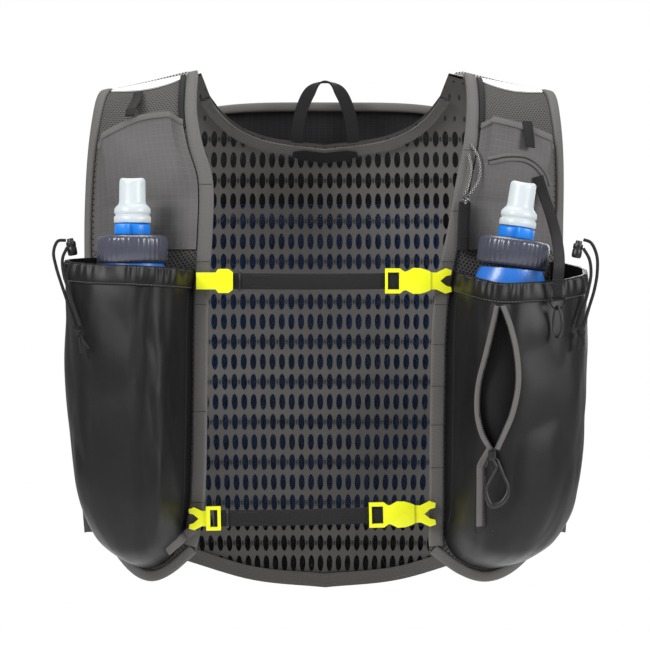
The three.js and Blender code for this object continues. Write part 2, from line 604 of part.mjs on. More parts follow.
for (const side of SIDES) {
  const wall = (u, v, lift) => pocketPoint(side, evenArch(u), 1 - (1 - v) ** 1.35, lift);
  side.wall = cloth(wall, POCKET_COLUMNS, POCKET_ROWS, POCKET_WALL);
  // gathered hem round the mouth
  const hem = (u, v, lift) => {
    const s = mix(0.03, 0.97, evenArch(u));
    const top = lookUp(MOUTH[side.name], "across", "drop", s);
    const floor = lookUp(POCKET_FLOOR, "across", "drop", s);
    const down = (v * HEM_WIDTH) / VEST_LENGTH / (floor - top);
    const gather = 0.9 * Math.sin(Math.round(u * 22) * Math.PI * 0.5) ** 2 * (1 - 0.5 * v);
    return pocketPoint(side, s, down, POCKET_WALL + GAP + lift + (lift > 0 ? gather : 0));
  };
  piece(`${side.name}_pocket_hem`, cloth(hem, 22, 1, 1.1), "pocket", { roughness: 0.5 });
  const border = [];
  for (let i = 0; i <= 14; i += 1) {
    const u = mix(0.04, 0.96, i / 14);
    const at = lookUp(FRONT_HEM, "across", "at", u) - 0.006;
    border.push({ x: mix(innerEdge(side, at), outerEdge(side, at), u), at, side: -1 });
  }
  piece(`${side.name}_bottom_binding`, trimOnTrunk(border, BINDING_WIDTH - 2, TRIM_WALL, TAPE_LIFT), "binding");
}

// The right pocket's front has a zipped slit: half width by share of its length
const SLIT_TOP = -183 * DOWN;
const SLIT_LENGTH = 105 * DOWN;
const SLIT = [
  { down: 0.0, left: 128, right: 129 }, { down: 0.15, left: 124.5, right: 134.5 },
  { down: 0.35, left: 119.5, right: 139 }, { down: 0.55, left: 114.5, right: 139.8 },
  { down: 0.75, left: 113.5, right: 135.5 }, { down: 0.9, left: 117, right: 129 },
  { down: 1.0, left: 123, right: 124.5 },
];
const zipped = SIDES.find((side) => side.zipped);
const slitOutline = (grow) => {
  const steps = 7;
  const points = [];
  for (let i = 0; i <= steps; i += 1) {
    const down = i / steps;
    const x = lookUp(SLIT, "down", "left", down) * ACROSS - grow;
    points.push(new THREE.Vector2(x, SLIT_TOP - down * SLIT_LENGTH));
  }
  for (let i = steps; i >= 0; i -= 1) {
    const down = i / steps;
    const x = lookUp(SLIT, "down", "right", down) * ACROSS + grow;
    points.push(new THREE.Vector2(x, SLIT_TOP - down * SLIT_LENGTH));
  }
  return points;
};
// a prism through the pocket's front alone, from y = -300 to the given depth
function frontPrism(outline, back) {
  const shape = new THREE.Shape(outline);
  const prism = new THREE.ExtrudeGeometry(shape, { depth: 300 + back, bevelEnabled: false });
  return prism.rotateX(Math.PI / 2).translate(0, back, 0);
}
for (const side of SIDES) {
  const cut = side.zipped ? cutBy(side.wall, frontPrism(slitOutline(0), -146)) : side.wall;
  piece(`${side.name}_bottle_pocket`, cut, "pocket", { roughness: 0.45 });
}
// back of the zipped compartment, between the flask and the pocket's front
const lining = (u, v, lift) => {
  const s = mix(0.16, 0.74, u);
  const z = mix(-VEST_LENGTH * (lookUp(MOUTH.right, "across", "drop", s) + 0.03), -VEST_LENGTH * 0.85, v);
  const down = mix(0.06, 0.78, v);
  return pocketPoint(zipped, s, down, lift, { depth: POCKET_DEPTH, inset: 2, z });
};
piece("right_pocket_lining", cloth(lining, 9, 7, 1.2), "black");

// Flasks: flattened body bent towards the neck, ribbed cap, lever collar and bite valve
const FLASK_FORM = [
  { size: 0.3, level: 0 }, { size: 0.62, level: 0.025 }, { size: 0.82, level: 0.08 },
  { size: 0.94, level: 0.17 }, { size: 1, level: 0.32 }, { size: 1, level: 0.7 },
  { size: 0.94, level: 0.88 }, { size: 0.84, level: 0.96 }, { size: 0.74, level: 1 },
];
const HEAD_NOD = 3.5; // degrees that the leaning flask's cap adds at its neck
const FLASK_WIDTH = 64;
const FLASK_DEPTH = 48;
const FLASKS = {
  left: { x: -144 * ACROSS, y: -133, capTop: -130 * DOWN },
  right: { x: 139 * ACROSS, y: -136, capTop: -134 * DOWN },
};
const flaskAxes = {};
for (const side of SIDES) {
  const place = FLASKS[side.name];
  const bend = THREE.MathUtils.degToRad(side.lean);
  const top = place.capTop - CAP_HEIGHT - GAP;
  const rings = FLASK_FORM.map(({ size, level }) => {
    const tilt = bend * level;
    const shift = -0.5 * FLASK_LENGTH * Math.tan(bend) * (1 - level ** 2);
    const round = Math.max(0, (level - 0.8) / 0.2);
    const ring = [];
    for (let i = 0; i < 14; i += 1) {
      const turn = (2 * Math.PI * i) / 14;
      const across = (FLASK_WIDTH / 2) * size * Math.cos(turn);
      const deep = (mix(FLASK_DEPTH, FLASK_WIDTH, round ** 2) / 2) * size * Math.sin(turn);
      const yaw = side.sign * THREE.MathUtils.degToRad(side.turn);
      const [x, y] = [across * Math.cos(yaw) - deep * Math.sin(yaw), across * Math.sin(yaw) + deep * Math.cos(yaw)];
      ring.push(vec(place.x + shift + x * Math.cos(tilt), place.y + y,
        top - FLASK_LENGTH * (1 - level) - x * Math.sin(tilt)));
    }
    return ring;
  });
  piece(`${side.name}_flask`, loft(rings), "blue", { roughness: 0.3 });

  // cap group: stands on the neck and leans with it
  const head = new THREE.Group();
  const nod = THREE.MathUtils.degToRad(side.lean > 0 ? HEAD_NOD : 0);
  head.position.set(place.x, place.y, top + (CAP_DIAMETER / 2) * 0.92 * Math.sin(nod));
  head.rotation.y = bend + nod;
  vest.add(head);
  const ribs = 14;
  const capRings = [[0.92, 0], [1, 0.08], [1, 0.9], [0.95, 1]].map(([size, level]) => {
    const ring = [];
    for (let i = 0; i < 2 * ribs; i += 1) {
      const turn = (Math.PI * i) / ribs;
      const radius = (CAP_DIAMETER / 2) * size - (i % 2 ? 0.9 : 0);
      ring.push(vec(radius * Math.cos(turn), radius * Math.sin(turn), GAP + CAP_HEIGHT * level));
    }
    return ring;
  });
  piece(`${side.name}_cap`, loft(capRings), "cap", { roughness: 0.3, parent: head });

  const collarBase = CAP_HEIGHT + 2 * GAP;
  const radius = LEVER_DIAMETER / 2;
  const collar = lathe([[0, 0], [radius, 0], [radius, LEVER_HEIGHT - 2], [radius - 1.5, LEVER_HEIGHT - 0.6],
    [0, LEVER_HEIGHT - 0.6]], 14);
  const lug = new THREE.BoxGeometry(11, 9, LEVER_HEIGHT - 2.5).translate(0, -radius - 1.5, LEVER_HEIGHT / 2 - 0.4)
    .rotateZ(side.sign < 0 ? -0.45 : 0.35);
  piece(`${side.name}_lever`, joined(collar, lug).translate(0, 0, collarBase), "lever",
    { roughness: 0.35, parent: head });

  const valveBase = collarBase + LEVER_HEIGHT - 0.6 + GAP;
  const narrow = VALVE_DIAMETER / 2;
  const valve = lathe([[0, 0], [radius + 0.4, 0], [radius + 0.4, 5], [radius - 0.6, 6.2],
    [radius + 0.2, 7.4], [radius, 12], [narrow + 0.6, 14.5], [narrow, VALVE_HEIGHT - 2],
    [narrow - 1.6, VALVE_HEIGHT], [narrow - 3.4, VALVE_HEIGHT - 3], [0, VALVE_HEIGHT - 3.4]], 12);
  piece(`${side.name}_valve`, valve.translate(0, 0, valveBase), "milky", { roughness: 0.3, parent: head });
}

// Chest straps and their fittings
// Outline of a fitting, symmetric about its strap: along as share of its length, half as share of its height
const CLIP_LENGTH = 27.5;
const CLIP_HEIGHT = 18;
const CLIP = [
  { along: 0, half: 0.35 }, { along: 0.53, half: 0.35 }, { along: 0.6, half: 0.5 },
  { along: 0.88, half: 0.5 }, { along: 1, half: 0.36 },
];
const BUCKLE_LENGTH = 34;
const BUCKLE_HEIGHT = 19.5;
const BUCKLE = [
  { along: 0, half: 0.48 }, { along: 0.33, half: 0.48 }, { along: 0.42, half: 0.36 },
  { along: 0.47, half: 0.36 }, { along: 0.62, half: 0.5 }, { along: 0.78, half: 0.49 },
  { along: 0.9, half: 0.43 }, { along: 1, half: 0.36 },
];
const BUCKLE_WINDOW = { from: 0.06, to: 0.31, half: 0.33 };
const FORK_LENGTH = 16.5;
const FORK_HEIGHT = 19;
const FORK = [
  { along: 0, half: 0.34 }, { along: 0.3, half: 0.33 }, { along: 0.72, half: 0.5 }, { along: 1, half: 0.42 },
  { along: 0.97, half: 0.24 }, { along: 0.74, half: 0.19 }, { along: 0.48, half: 0 },
];
const FRAME_LENGTH = 10; // the bar frame behind the lower hook
const HOOK_WALL = 4.5;

function symmetric(rows, length, height) {
  const upper = rows.map(({ along, half }) => new THREE.Vector2(along * length, half * height));
  const lower = upper.filter((p) => p.y > 0).map((p) => new THREE.Vector2(p.x, -p.y)).reverse();
  return [...upper, ...lower];
}
// plate in the XZ plane, from y = 0 forward to y = -wall
function plate(outline, wall) {
  const geometry = new THREE.ExtrudeGeometry(new THREE.Shape(outline), { depth: wall, bevelEnabled: false });
  return geometry.rotateX(Math.PI / 2);
}
function block(x0, x1, y0, y1, z0, z1) {
  return new THREE.BoxGeometry(x1 - x0, y1 - y0, z1 - z0)
    .translate((x0 + x1) / 2, (y0 + y1) / 2, (z0 + z1) / 2);
}
const STRAP_BACK = -(BUCKLE_WALL - STRAP_WALL) / 2; // strap's back face in a fitting's frame
const slot = (x0, x1) => block(x0, x1, STRAP_BACK - STRAP_WALL - GAP, STRAP_BACK + GAP,
  -STRAP_WIDTH / 2 - GAP, STRAP_WIDTH / 2 + GAP);

const CHEST = [
  { name: "upper", z: UPPER_STRAP_Z, from: -69 * ACROSS, to: 45 * ACROSS, rise: 0 },
  { name: "lower", z: LOWER_STRAP_Z, from: -78 * ACROSS, to: 33 * ACROSS, rise: 1.2 },
];
for (const row of CHEST) {
  const at = levelAt(84 * ACROSS, row.z);
  const plane = trunk(70 * ACROSS, at, -1).y - TRIM_LIFT - TRIM_WALL - GAP;
  const rig = new THREE.Group();
  rig.position.set(0, plane, row.z);
  rig.rotation.y = THREE.MathUtils.degToRad(-row.rise);
  vest.add(rig);

  // buckle, with a window for the strap's turn and a slot through its outer bar
  const windowCut = block(BUCKLE_WINDOW.from * BUCKLE_LENGTH, BUCKLE_WINDOW.to * BUCKLE_LENGTH,
    -BUCKLE_WALL - 1, 1, -BUCKLE_WINDOW.half * BUCKLE_HEIGHT, BUCKLE_WINDOW.half * BUCKLE_HEIGHT);
  const body = cutBy(plate(symmetric(BUCKLE, BUCKLE_LENGTH, BUCKLE_HEIGHT), BUCKLE_WALL), windowCut,
    slot(-1, BUCKLE_WINDOW.from * BUCKLE_LENGTH + 1));
  const fork = plate(symmetric(FORK, FORK_LENGTH, FORK_HEIGHT), HOOK_WALL).translate(BUCKLE_LENGTH - 0.5, 0, 0);
  piece(`${row.name}_buckle`, joined(body, fork).translate(row.to, 0, 0), "yellow", { roughness: 0.4, parent: rig });

  const strapEnd = row.to + BUCKLE_WINDOW.to * BUCKLE_LENGTH - GAP;
  const inFitting = 6;
  const webbing = block(row.from - inFitting, strapEnd, STRAP_BACK - STRAP_WALL, STRAP_BACK,
    -STRAP_WIDTH / 2, STRAP_WIDTH / 2);
  piece(`${row.name}_strap`, webbing, "black", { roughness: 0.9, parent: rig });
  if (row.name === "upper") {
    const clip = cutBy(plate(symmetric(CLIP, CLIP_LENGTH, CLIP_HEIGHT), BUCKLE_WALL),
      slot(CLIP_LENGTH - inFitting - GAP, CLIP_LENGTH + 1));
    piece("whistle_clip", clip.translate(row.from - CLIP_LENGTH, 0, 0), "yellow",
      { roughness: 0.4, parent: rig });
  } else {
    const hook = plate(symmetric(FORK, 0.85 * FORK_LENGTH, 0.9 * FORK_HEIGHT), HOOK_WALL).rotateY(Math.PI);
    const frame = block(-1, FRAME_LENGTH, -BUCKLE_WALL, 0, -BUCKLE_HEIGHT * 0.46, BUCKLE_HEIGHT * 0.46);
    const opening = block(2, FRAME_LENGTH - 2.4, -BUCKLE_WALL - 1, 1, -BUCKLE_HEIGHT * 0.33,
      BUCKLE_HEIGHT * 0.33);
    const whole = cutBy(joined(hook, frame), opening, slot(FRAME_LENGTH - 3, FRAME_LENGTH + 1));
    piece("lower_hook", whole.translate(row.from - FRAME_LENGTH, 0, 0), "yellow",
      { roughness: 0.4, parent: rig });
  }
}

// Trim that lies on a bottle pocket: the pocket's own surface, lifted, inside an outline seen from the front
function onPocket(side, outline, wall, back, hole = null) {
  const skin = cloth((u, v, lift) => pocketPoint(side, evenArch(u), 1 - (1 - v) ** 1.35,
    POCKET_WALL + GAP + lift), POCKET_COLUMNS, POCKET_ROWS, wall);
  let body = solid(skin).intersect(solid(frontPrism(outline, back)));
  if (hole) body = body.subtract(solid(frontPrism(hole, back)));
  return shown(body);
}
const outlineOf = (rows) => rows.map(([x, z]) => new THREE.Vector2(x, z));
// y of a pocket's front at a place seen from the front
function pocketFront(side, x, z, lift = 0) {
  let best = null;
  for (let i = 4; i <= 80; i += 1) {
    const s = i / 100;
    const top = -VEST_LENGTH * lookUp(MOUTH[side.name], "across", "drop", s);
    const low = -VEST_LENGTH * lookUp(POCKET_FLOOR, "across", "drop", s);
    const p = pocketPoint(side, s, Math.max(0, Math.min(1, (z - top) / (low - top))), POCKET_WALL + lift);
    if (!best || Math.abs(p.x - x) < Math.abs(best.x - x)) best = p;
  }
  return best.y;
}
const [leftSide, rightSide] = SIDES;

// Zip of the right pocket: tape round the slit, closed run below it, slider and looped pull
const ZIP_TAPE = 3.2;
const ZIP_X = 116.5 * ACROSS;
const ZIP_END = -345 * DOWN;
const slitFoot = SLIT_TOP - SLIT_LENGTH;
const zipOutline = (x) => onPocket(rightSide, outlineOf([[x - 5.5, slitFoot + 2], [x + 10, slitFoot + 2],
  [x + 5.5, slitFoot - 14], [x + 4.5, ZIP_END], [x - 5.5, ZIP_END]]), 0.9, -120);
piece("zip_tape", joined(onPocket(rightSide, slitOutline(ZIP_TAPE), 0.9, -146, slitOutline(0)),
  zipOutline(ZIP_X)), "binding");
const slider = { x: 122.5 * ACROSS, z: slitFoot - 5 };
slider.y = pocketFront(rightSide, slider.x, slider.z, 2 * GAP + 2.2);
const sliderBody = block(slider.x - 2.8, slider.x + 2.8, slider.y - 4, slider.y, slider.z - 4, slider.z + 4);
const PULL = [
  { x: 122.8, z: -2, y: -4.2, r: 1 }, { x: 125.2, z: -8, y: -4.6, r: 1.8 }, { x: 122.5, z: -14, y: -4.8, r: 0.9 },
  { x: 118.2, z: -23, y: -5, r: 1 }, { x: 118.2, z: -29, y: -5.2, r: 1.7 }, { x: 122, z: -36, y: -5.4, r: 2 },
  { x: 128.5, z: -34, y: -5.4, r: 2 }, { x: 133, z: -28, y: -5.2, r: 1.9 }, { x: 133.6, z: -22, y: -5, r: 1.2 },
  { x: 131, z: -15, y: -4.8, r: 0.9 }, { x: 128, z: -8, y: -4.6, r: 1.5 }, { x: 125.4, z: -2, y: -4.2, r: 1 },
];
const pullRings = PULL.map(({ x, y, z, r }, i) => {
  const [a, b] = [PULL[(i + PULL.length - 1) % PULL.length], PULL[(i + 1) % PULL.length]];
  const along = vec(b.x - a.x, 0, b.z - a.z).normalize();
  const out = along.clone().cross(vec(0, 1, 0));
  return Array.from({ length: 6 }, (_, k) => {
    const turn = (k * Math.PI) / 3;
    return vec(slider.x + x - 122.5, slider.y + y, slider.z + z).addScaledVector(out, r * Math.cos(turn))
      .add(vec(0, r * Math.sin(turn), 0));
  });
});
piece("zip_pull", joined(sliderBody, loft(pullRings, true)), "black", { roughness: 0.5 });

// Straight tabs on the shoulders
const TAB_WIDTH = 7.6;
const tabStations = (side, x, rows) => rows.map(([z, lift]) => {
  const at = levelAt(x, z * DOWN);
  const rest = topPocketLift(side, x, at) + POCKET_WALL + 2 * BEND_ROOM;
  return { centre: lifted(x, at, -1, (lift ?? rest) + 2 * GAP) };
}).map((station, i, all) => {
  const next = all[Math.min(all.length - 1, i + 1)].centre.clone()
    .sub(all[Math.max(0, i - 1)].centre).normalize();
  const wide = vec(1, 0, 0).addScaledVector(next, -next.x).normalize();
  return { centre: station.centre, wide, normal: wide.clone().cross(next).normalize() };
});
const LEFT_TAB = [[-21, PANEL_WALL + 1.6], [-27, 4.8], [-33, 8.6], [-38, 12.6], [-42, 16], [-47, 17]];
piece("left_pull_tab", ribbon(tabStations(leftSide, -143.5 * ACROSS, LEFT_TAB), TAB_WIDTH, 1.2), "black");
piece("right_pull_tab", ribbon(tabStations(rightSide, 149 * ACROSS, [[-52, null], [-57, null], [-62, null],
  [-68, null]]), TAB_WIDTH, 1.2), "black");

// Cords, as chosen points: their ends meet the lock, the cloth or the knot
const points = (rows) => rows.map(([x, y, z]) => vec(x * ACROSS, y, z * DOWN));
const CORDS = {
  left_drawcord_a: [[-194.6, -121.5, -133.4], [-200.5, -122.5, -134], [-203.6, -124.5, -142],
    [-201.5, -128.5, -153], [-197, -135.5, -166], [-191, -143.5, -182], [-185.6, -151, -198]],
  left_drawcord_b: [[-193.4, -126.5, -139], [-196.4, -130, -147], [-195.5, -134, -158], [-191.5, -140.5, -170],
    [-187, -147, -183], [-181.6, -154, -198]],
  right_drawcord_a: [[192.6, -141, -133.4], [198, -141, -135.5], [202.4, -142, -145], [202.6, -144.5, -158],
    [200, -149.5, -171], [195.6, -156, -184], [191.4, -162.4, -197]],
  right_drawcord_b: [[192.4, -143.5, -140], [196.6, -146, -148], [197.6, -149, -159], [195, -153.5, -172],
    [191.4, -158.6, -184], [187.2, -164.4, -197]],
  pull_cord_a: [[111, -92.4, -60], [115.6, -98, -68], [117.6, -102.4, -78], [116, -106, -87.5],
    [112, -109.4, -95], [108.4, -111.4, -99.2]],
  pull_cord_b: [[109, -97.6, -68], [110.8, -103.4, -77], [109.8, -107, -86], [107.6, -109.8, -93.5],
    [105.2, -111.2, -99]],
};
for (const [name, rows] of Object.entries(CORDS)) {
  piece(name, cord(points(rows), name.startsWith("pull") ? THIN_CORD : CORD_DIAMETER), "cord");
}
const KNOT_DIAMETER = 7;
const knot = (x, y, z, size, tails) => {
  const ball = new THREE.SphereGeometry(size / 2, 6, 5).scale(1, 1, 1.15).translate(x * ACROSS, y, z * DOWN);
  return joined(ball, ...tails.map((rows) => cord(points(rows), THIN_CORD, 5)));
};
piece("left_knot", knot(-182.8, -155.2, -203, KNOT_DIAMETER, [
  [[-182.6, -155.4, -204], [-181.6, -156.8, -210], [-180.6, -157.6, -218]],
  [[-181.6, -155.6, -204], [-178.4, -157.4, -209.5], [-174.6, -158.8, -214.5]]]), "cord");
piece("right_knot", knot(188.8, -166, -202, KNOT_DIAMETER, [
  [[188.6, -166, -203], [187.6, -167.4, -209], [186.4, -168.2, -215]],
  [[189.4, -166, -203], [190.4, -167.4, -208], [190.6, -168.6, -213]]]), "cord");
const tabRow = (x, y, z) => ({ centre: vec(x * ACROSS, y, z * DOWN), wide: vec(1, 0, 0), normal: vec(0, -1, 0) });
const pullKnot = new THREE.SphereGeometry(3.3, 8, 6).scale(1, 1, 1.1)
  .translate(106.4 * ACROSS, -112.4, -103.6 * DOWN);
piece("pull_tab", joined(pullKnot, ribbon([tabRow(105.4, -111.4, -104.5), tabRow(104.4, -114.2, -122),
  tabRow(103.8, -117.4, -141)], 8.6, 2)), "black");

// Cord locks on the outer corners of the bottle pockets
const LOCK_DIAMETER = 7.4;
const LOCK_LENGTH = 13;
for (const [side, x, y, z] of [[leftSide, -190.4, -121.6, -138.4], [rightSide, 188.2, -141.6, -140.6]]) {
  const barrel = lathe([[0, -0.5], [0.38, -0.5], [0.5, -0.38], [0.5, 0.3], [0.34, 0.36], [0.34, 0.5], [0, 0.5]]
    .map(([r, h]) => [r * LOCK_DIAMETER, h * LOCK_LENGTH]), 12);
  piece(`${side.name}_cord_lock`, barrel.rotateY(side.sign * 0.18)
    .translate(x * ACROSS, y, z * DOWN), "black", { roughness: 0.4 });
}

// Key strap: webbing from the right upper pocket over the bottle pocket's rim, with its ring and hook
const KEY_END = -177 * DOWN; // level of the ring's straight bar
const keyY = -179;
const keyX = 170.8 * ACROSS;
const KEY_RUN = [
  { x: 162, y: -89.4, z: -84 }, { x: 165.5, y: -90.6, z: -96 }, { x: 170, y: -100, z: -111 },
  { x: 173.2, y: -121, z: -128 }, { x: 173.8, y: -146, z: -142 }, { x: 173, y: -164, z: -150.5 },
  { x: 171.8, y: -174.4, z: -157 }, { x: 171, y: keyY + 2, z: -166 },
];
const KEY_TURN = [[1.9, 0], [1.3, -1.4], [0, -1.9], [-1.3, -1.4], [-1.9, 0], [-1.7, 6]];
const KEY_PATH = [
  ...KEY_RUN.map(({ x, y, z }) => ({ x: x * ACROSS, y, z: z * DOWN })),
  ...KEY_TURN.map(([y, z]) => ({ x: keyX, y: keyY + y, z: KEY_END + z })),
];
const keyStations = KEY_PATH.map(({ x, y, z }, i) => {
  const [a, b] = [KEY_PATH[Math.max(0, i - 1)], KEY_PATH[Math.min(KEY_PATH.length - 1, i + 1)]];
  const along = vec(b.x - a.x, b.y - a.y, b.z - a.z).normalize();
  const wide = vec(1, 0, 0).addScaledVector(along, -along.x).normalize();
  return { centre: vec(x, y, z), wide, normal: wide.clone().cross(along).normalize().negate(),
    width: i >= 8 ? 6.2 : KEY_STRAP_WIDTH };
});
piece("key_strap", ribbon(keyStations, KEY_STRAP_WIDTH, 0.9), "black");
function wireLoop(rows, radius, sides) {
  const count = rows.length;
  return loft(rows.map((p, i) => {
    const along = rows[(i + 1) % count].clone().sub(rows[(i + count - 1) % count]).normalize();
    const middle = rows.reduce((sum, q) => sum.add(q), vec(0, 0, 0)).divideScalar(count);
    const spoke = p.clone().sub(middle);
    const out = spoke.addScaledVector(along, -spoke.dot(along)).normalize();
    const up = along.clone().cross(out);
    return Array.from({ length: sides }, (_, k) => p.clone()
      .addScaledVector(out, radius * Math.cos((2 * Math.PI * k) / sides))
      .addScaledVector(up, radius * Math.sin((2 * Math.PI * k) / sides)));
  }), true);
}
const RING = [[-4.4, 0], [0, 0], [4.4, 0], [5.4, -1.2], [5.4, -3.4], [4.2, -6], [2.2, -7.9], [0, -8.6],
  [-2.2, -7.9], [-4.2, -6], [-5.4, -3.4], [-5.4, -1.2]];
const ringScale = KEY_RING_DIAMETER / 11;
piece("key_ring", wireLoop(RING.map(([x, z]) => vec(keyX + x * ringScale, keyY, KEY_END + z * ringScale)),
  0.75, 6), "black", { roughness: 0.35, metalness: 0.6 });
const HOOK_HALF = 11.2;
const hookMiddle = KEY_END - 8.6 * ringScale + 2.2 - HOOK_HALF;
piece("key_hook", wireLoop(Array.from({ length: 16 }, (_, k) => {
  const turn = (k * Math.PI) / 8;
  const across = 5 * Math.cos(turn);
  return vec(keyX + across * 0.6, keyY - across * 0.8, hookMiddle + HOOK_HALF * Math.sin(turn));
}), 1.1, 6), "black", { roughness: 0.35 });

export default vest;
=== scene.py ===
"""Running hydration vest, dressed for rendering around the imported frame.

Lengths are worked out in millimetres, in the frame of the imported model, and become metres
when a mesh is made. The front faces -Y, and "left" is -X.
"""
import logging
import math
from dataclasses import dataclass, field
from enum import Enum
from functools import lru_cache
from typing import Callable, Optional, Sequence

import bmesh
import bpy
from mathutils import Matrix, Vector, noise


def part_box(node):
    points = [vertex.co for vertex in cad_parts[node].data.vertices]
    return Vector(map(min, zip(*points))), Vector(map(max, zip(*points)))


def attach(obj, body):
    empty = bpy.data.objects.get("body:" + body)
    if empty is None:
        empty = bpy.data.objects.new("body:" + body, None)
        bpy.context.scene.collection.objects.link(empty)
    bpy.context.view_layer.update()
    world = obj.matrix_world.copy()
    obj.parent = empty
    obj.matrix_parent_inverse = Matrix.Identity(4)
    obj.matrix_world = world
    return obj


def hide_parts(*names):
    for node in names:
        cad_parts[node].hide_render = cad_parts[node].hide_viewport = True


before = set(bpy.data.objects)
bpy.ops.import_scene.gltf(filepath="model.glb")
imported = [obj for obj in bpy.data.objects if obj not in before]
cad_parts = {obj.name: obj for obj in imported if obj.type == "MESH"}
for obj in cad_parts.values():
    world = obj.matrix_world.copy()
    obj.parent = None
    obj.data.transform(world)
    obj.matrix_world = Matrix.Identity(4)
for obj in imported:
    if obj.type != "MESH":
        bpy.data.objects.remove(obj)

logging.basicConfig(level=logging.INFO, format="%(message)s")
log = logging.getLogger("vest")

MM = 0.001
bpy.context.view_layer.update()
Surface = Callable[[float, float, float], Vector]
Colour = tuple[float, float, float]


# The wearer's trunk

VEST_LENGTH = 400.0
HALF_WIDTH = 195.0
FRONT_DEPTH = 125.0
BACK_DEPTH = 108.0
CREST_SLOPE = 0.27
CREST_START = 96.0
SECTION_POWER = 2.8
PANEL_WALL = 2.4
NET_WALL = 2.0
BINDING_WIDTH = 8.0
EDGE_TAPE_WIDTH = 11.0
ARMHOLE_AT = 0.5
CREST_AT = 0.0025

# level, drop, front, back, width: shares of the trunk's sizes
LEVELS = [
    (0.0, 0.0, 0.0, 0.0, 0.97), (0.05, 0.008, 0.2, 0.2, 0.98), (0.1, 0.036, 0.41, 0.41, 0.99),
    (0.16, 0.09, 0.61, 0.62, 1.0), (0.24, 0.175, 0.79, 0.81, 1.0), (0.35, 0.3, 0.91, 0.95, 1.0),
    (0.5, 0.47, 0.98, 1.0, 1.0), (0.75, 0.75, 1.0, 0.95, 0.98), (1.0, 1.0, 0.97, 0.86, 0.94),
    (1.1, 1.1, 0.95, 0.82, 0.92),
]
DROP, FRONT, BACK, WIDTH = 1, 2, 3, 4


def look_up(table: Sequence[Sequence[float]], column: int, key: float) -> float:
    """Value of a table's column at a key, by a smooth monotone curve.

    Args:
        table: rows whose first number is the key.
        column: the column to read.
        key: the place in the table.

    Returns:
        The value between the rows.
    """
    last = len(table) - 1
    if key <= table[0][0]:
        return table[0][column]
    if key >= table[last][0]:
        return table[last][column]
    i = 0
    while key > table[i + 1][0]:
        i += 1

    def slope(k: int) -> float:
        """Slope of the column at a row."""
        a, b = table[max(0, k - 1)], table[min(last, k + 1)]
        return (b[column] - a[column]) / (b[0] - a[0])

    span = table[i + 1][0] - table[i][0]
    t = (key - table[i][0]) / span
    p, q = table[i][column], table[i + 1][column]
    m, n = slope(i) * span, slope(i + 1) * span
    t2, t3 = t * t, t * t * t
    return (2 * t3 - 3 * t2 + 1) * p + (t3 - 2 * t2 + t) * m + (3 * t2 - 2 * t3) * q + (t3 - t2) * n


def mix(a: float, b: float, t: float) -> float:
    """Value between two numbers at a share."""
    return a + (b - a) * t


def trunk(x: float, at: float, side: int) -> Vector:
    """Point on the wearer's trunk.

    Args:
        x: place across.
        at: level, from 0 at the crest.
        side: -1 for the front, +1 for the back.

    Returns:
        The point in millimetres.
    """
    half = HALF_WIDTH * look_up(LEVELS, WIDTH, at)
    depth = FRONT_DEPTH * look_up(LEVELS, FRONT, at) if side < 0 else BACK_DEPTH * look_up(LEVELS, BACK, at)
    share = min(1.0, abs(x) / half)
    reach = (1 - share ** SECTION_POWER) ** (1 / SECTION_POWER)
    fall = CREST_SLOPE * max(0.0, abs(x) - CREST_START)
    fade = max(0.0, 1 - at / 0.3)
    return Vector((x, side * depth * reach, -VEST_LENGTH * look_up(LEVELS, DROP, at) - fall * fade * fade))


def outward(x: float, at: float, side: int) -> Vector:
    """Direction out of the trunk.

    Args:
        x: place across.
        at: level.
        side: -1 for the front, +1 for the back.

    Returns:
        A unit vector.
    """
    inside = x if abs(x) < 0.97 * HALF_WIDTH else math.copysign(0.97 * HALF_WIDTH, x)
    across = trunk(inside + 1, at, side) - trunk(inside - 1, at, side)
    down = trunk(inside, at + 0.004, side) - trunk(inside, max(0.0, at - 0.004), side)
    normal = across.cross(down).normalized()
    return -normal if side < 0 else normal


@lru_cache(maxsize=None)
def level_at(x: float, z: float, side: int = -1) -> float:
    """Level whose height is z.

    Args:
        x: place across.
        z: height wanted.
        side: -1 for the front, +1 for the back.

    Returns:
        The level.
    """
    low, high = 0.0, 1.1
    for _ in range(24):
        middle = (low + high) / 2
        if trunk(x, middle, side).z > z:
            low = middle
        else:
            high = middle
    return (low + high) / 2


def lifted(x: float, at: float, side: int, lift: float) -> Vector:
    """Point lifted off the trunk.

    Args:
        x: place across.
        at: level.
        side: -1 for the front, +1 for the back.
        lift: distance off the trunk.

    Returns:
        The point in millimetres.
    """
    return trunk(x, at, side) + outward(x, at, side) * lift


def ripple(point: Vector, size: float, height: float, seed: float = 0.0) -> float:
    """Soft uneven height of cloth at a place.

    Args:
        point: place in millimetres.
        size: width of one ripple.
        height: how high it stands.
        seed: picks another pattern.

    Returns:
        The height, between -height and height.
    """
    return height * noise.noise(Vector((point.x + seed, point.y - seed, point.z + 3 * seed)) / size)


# Finishes

class Pattern(Enum):
    """What a finish shows close up."""

    WEAVE = "weave"
    WEBBING = "webbing"
    NET = "net"
    SLITS = "slits"
    RIPSTOP = "ripstop"
    BRAID = "braid"
    MOULDED = "moulded"
    FILM = "film"


def linear(colour: Colour) -> tuple[float, float, float, float]:
    """Scene colour of a colour given in 0 to 255 steps."""
    return tuple(((c / 255 + 0.055) / 1.055) ** 2.4 if c > 10 else c / 255 / 12.92 for c in colour) + (1.0,)


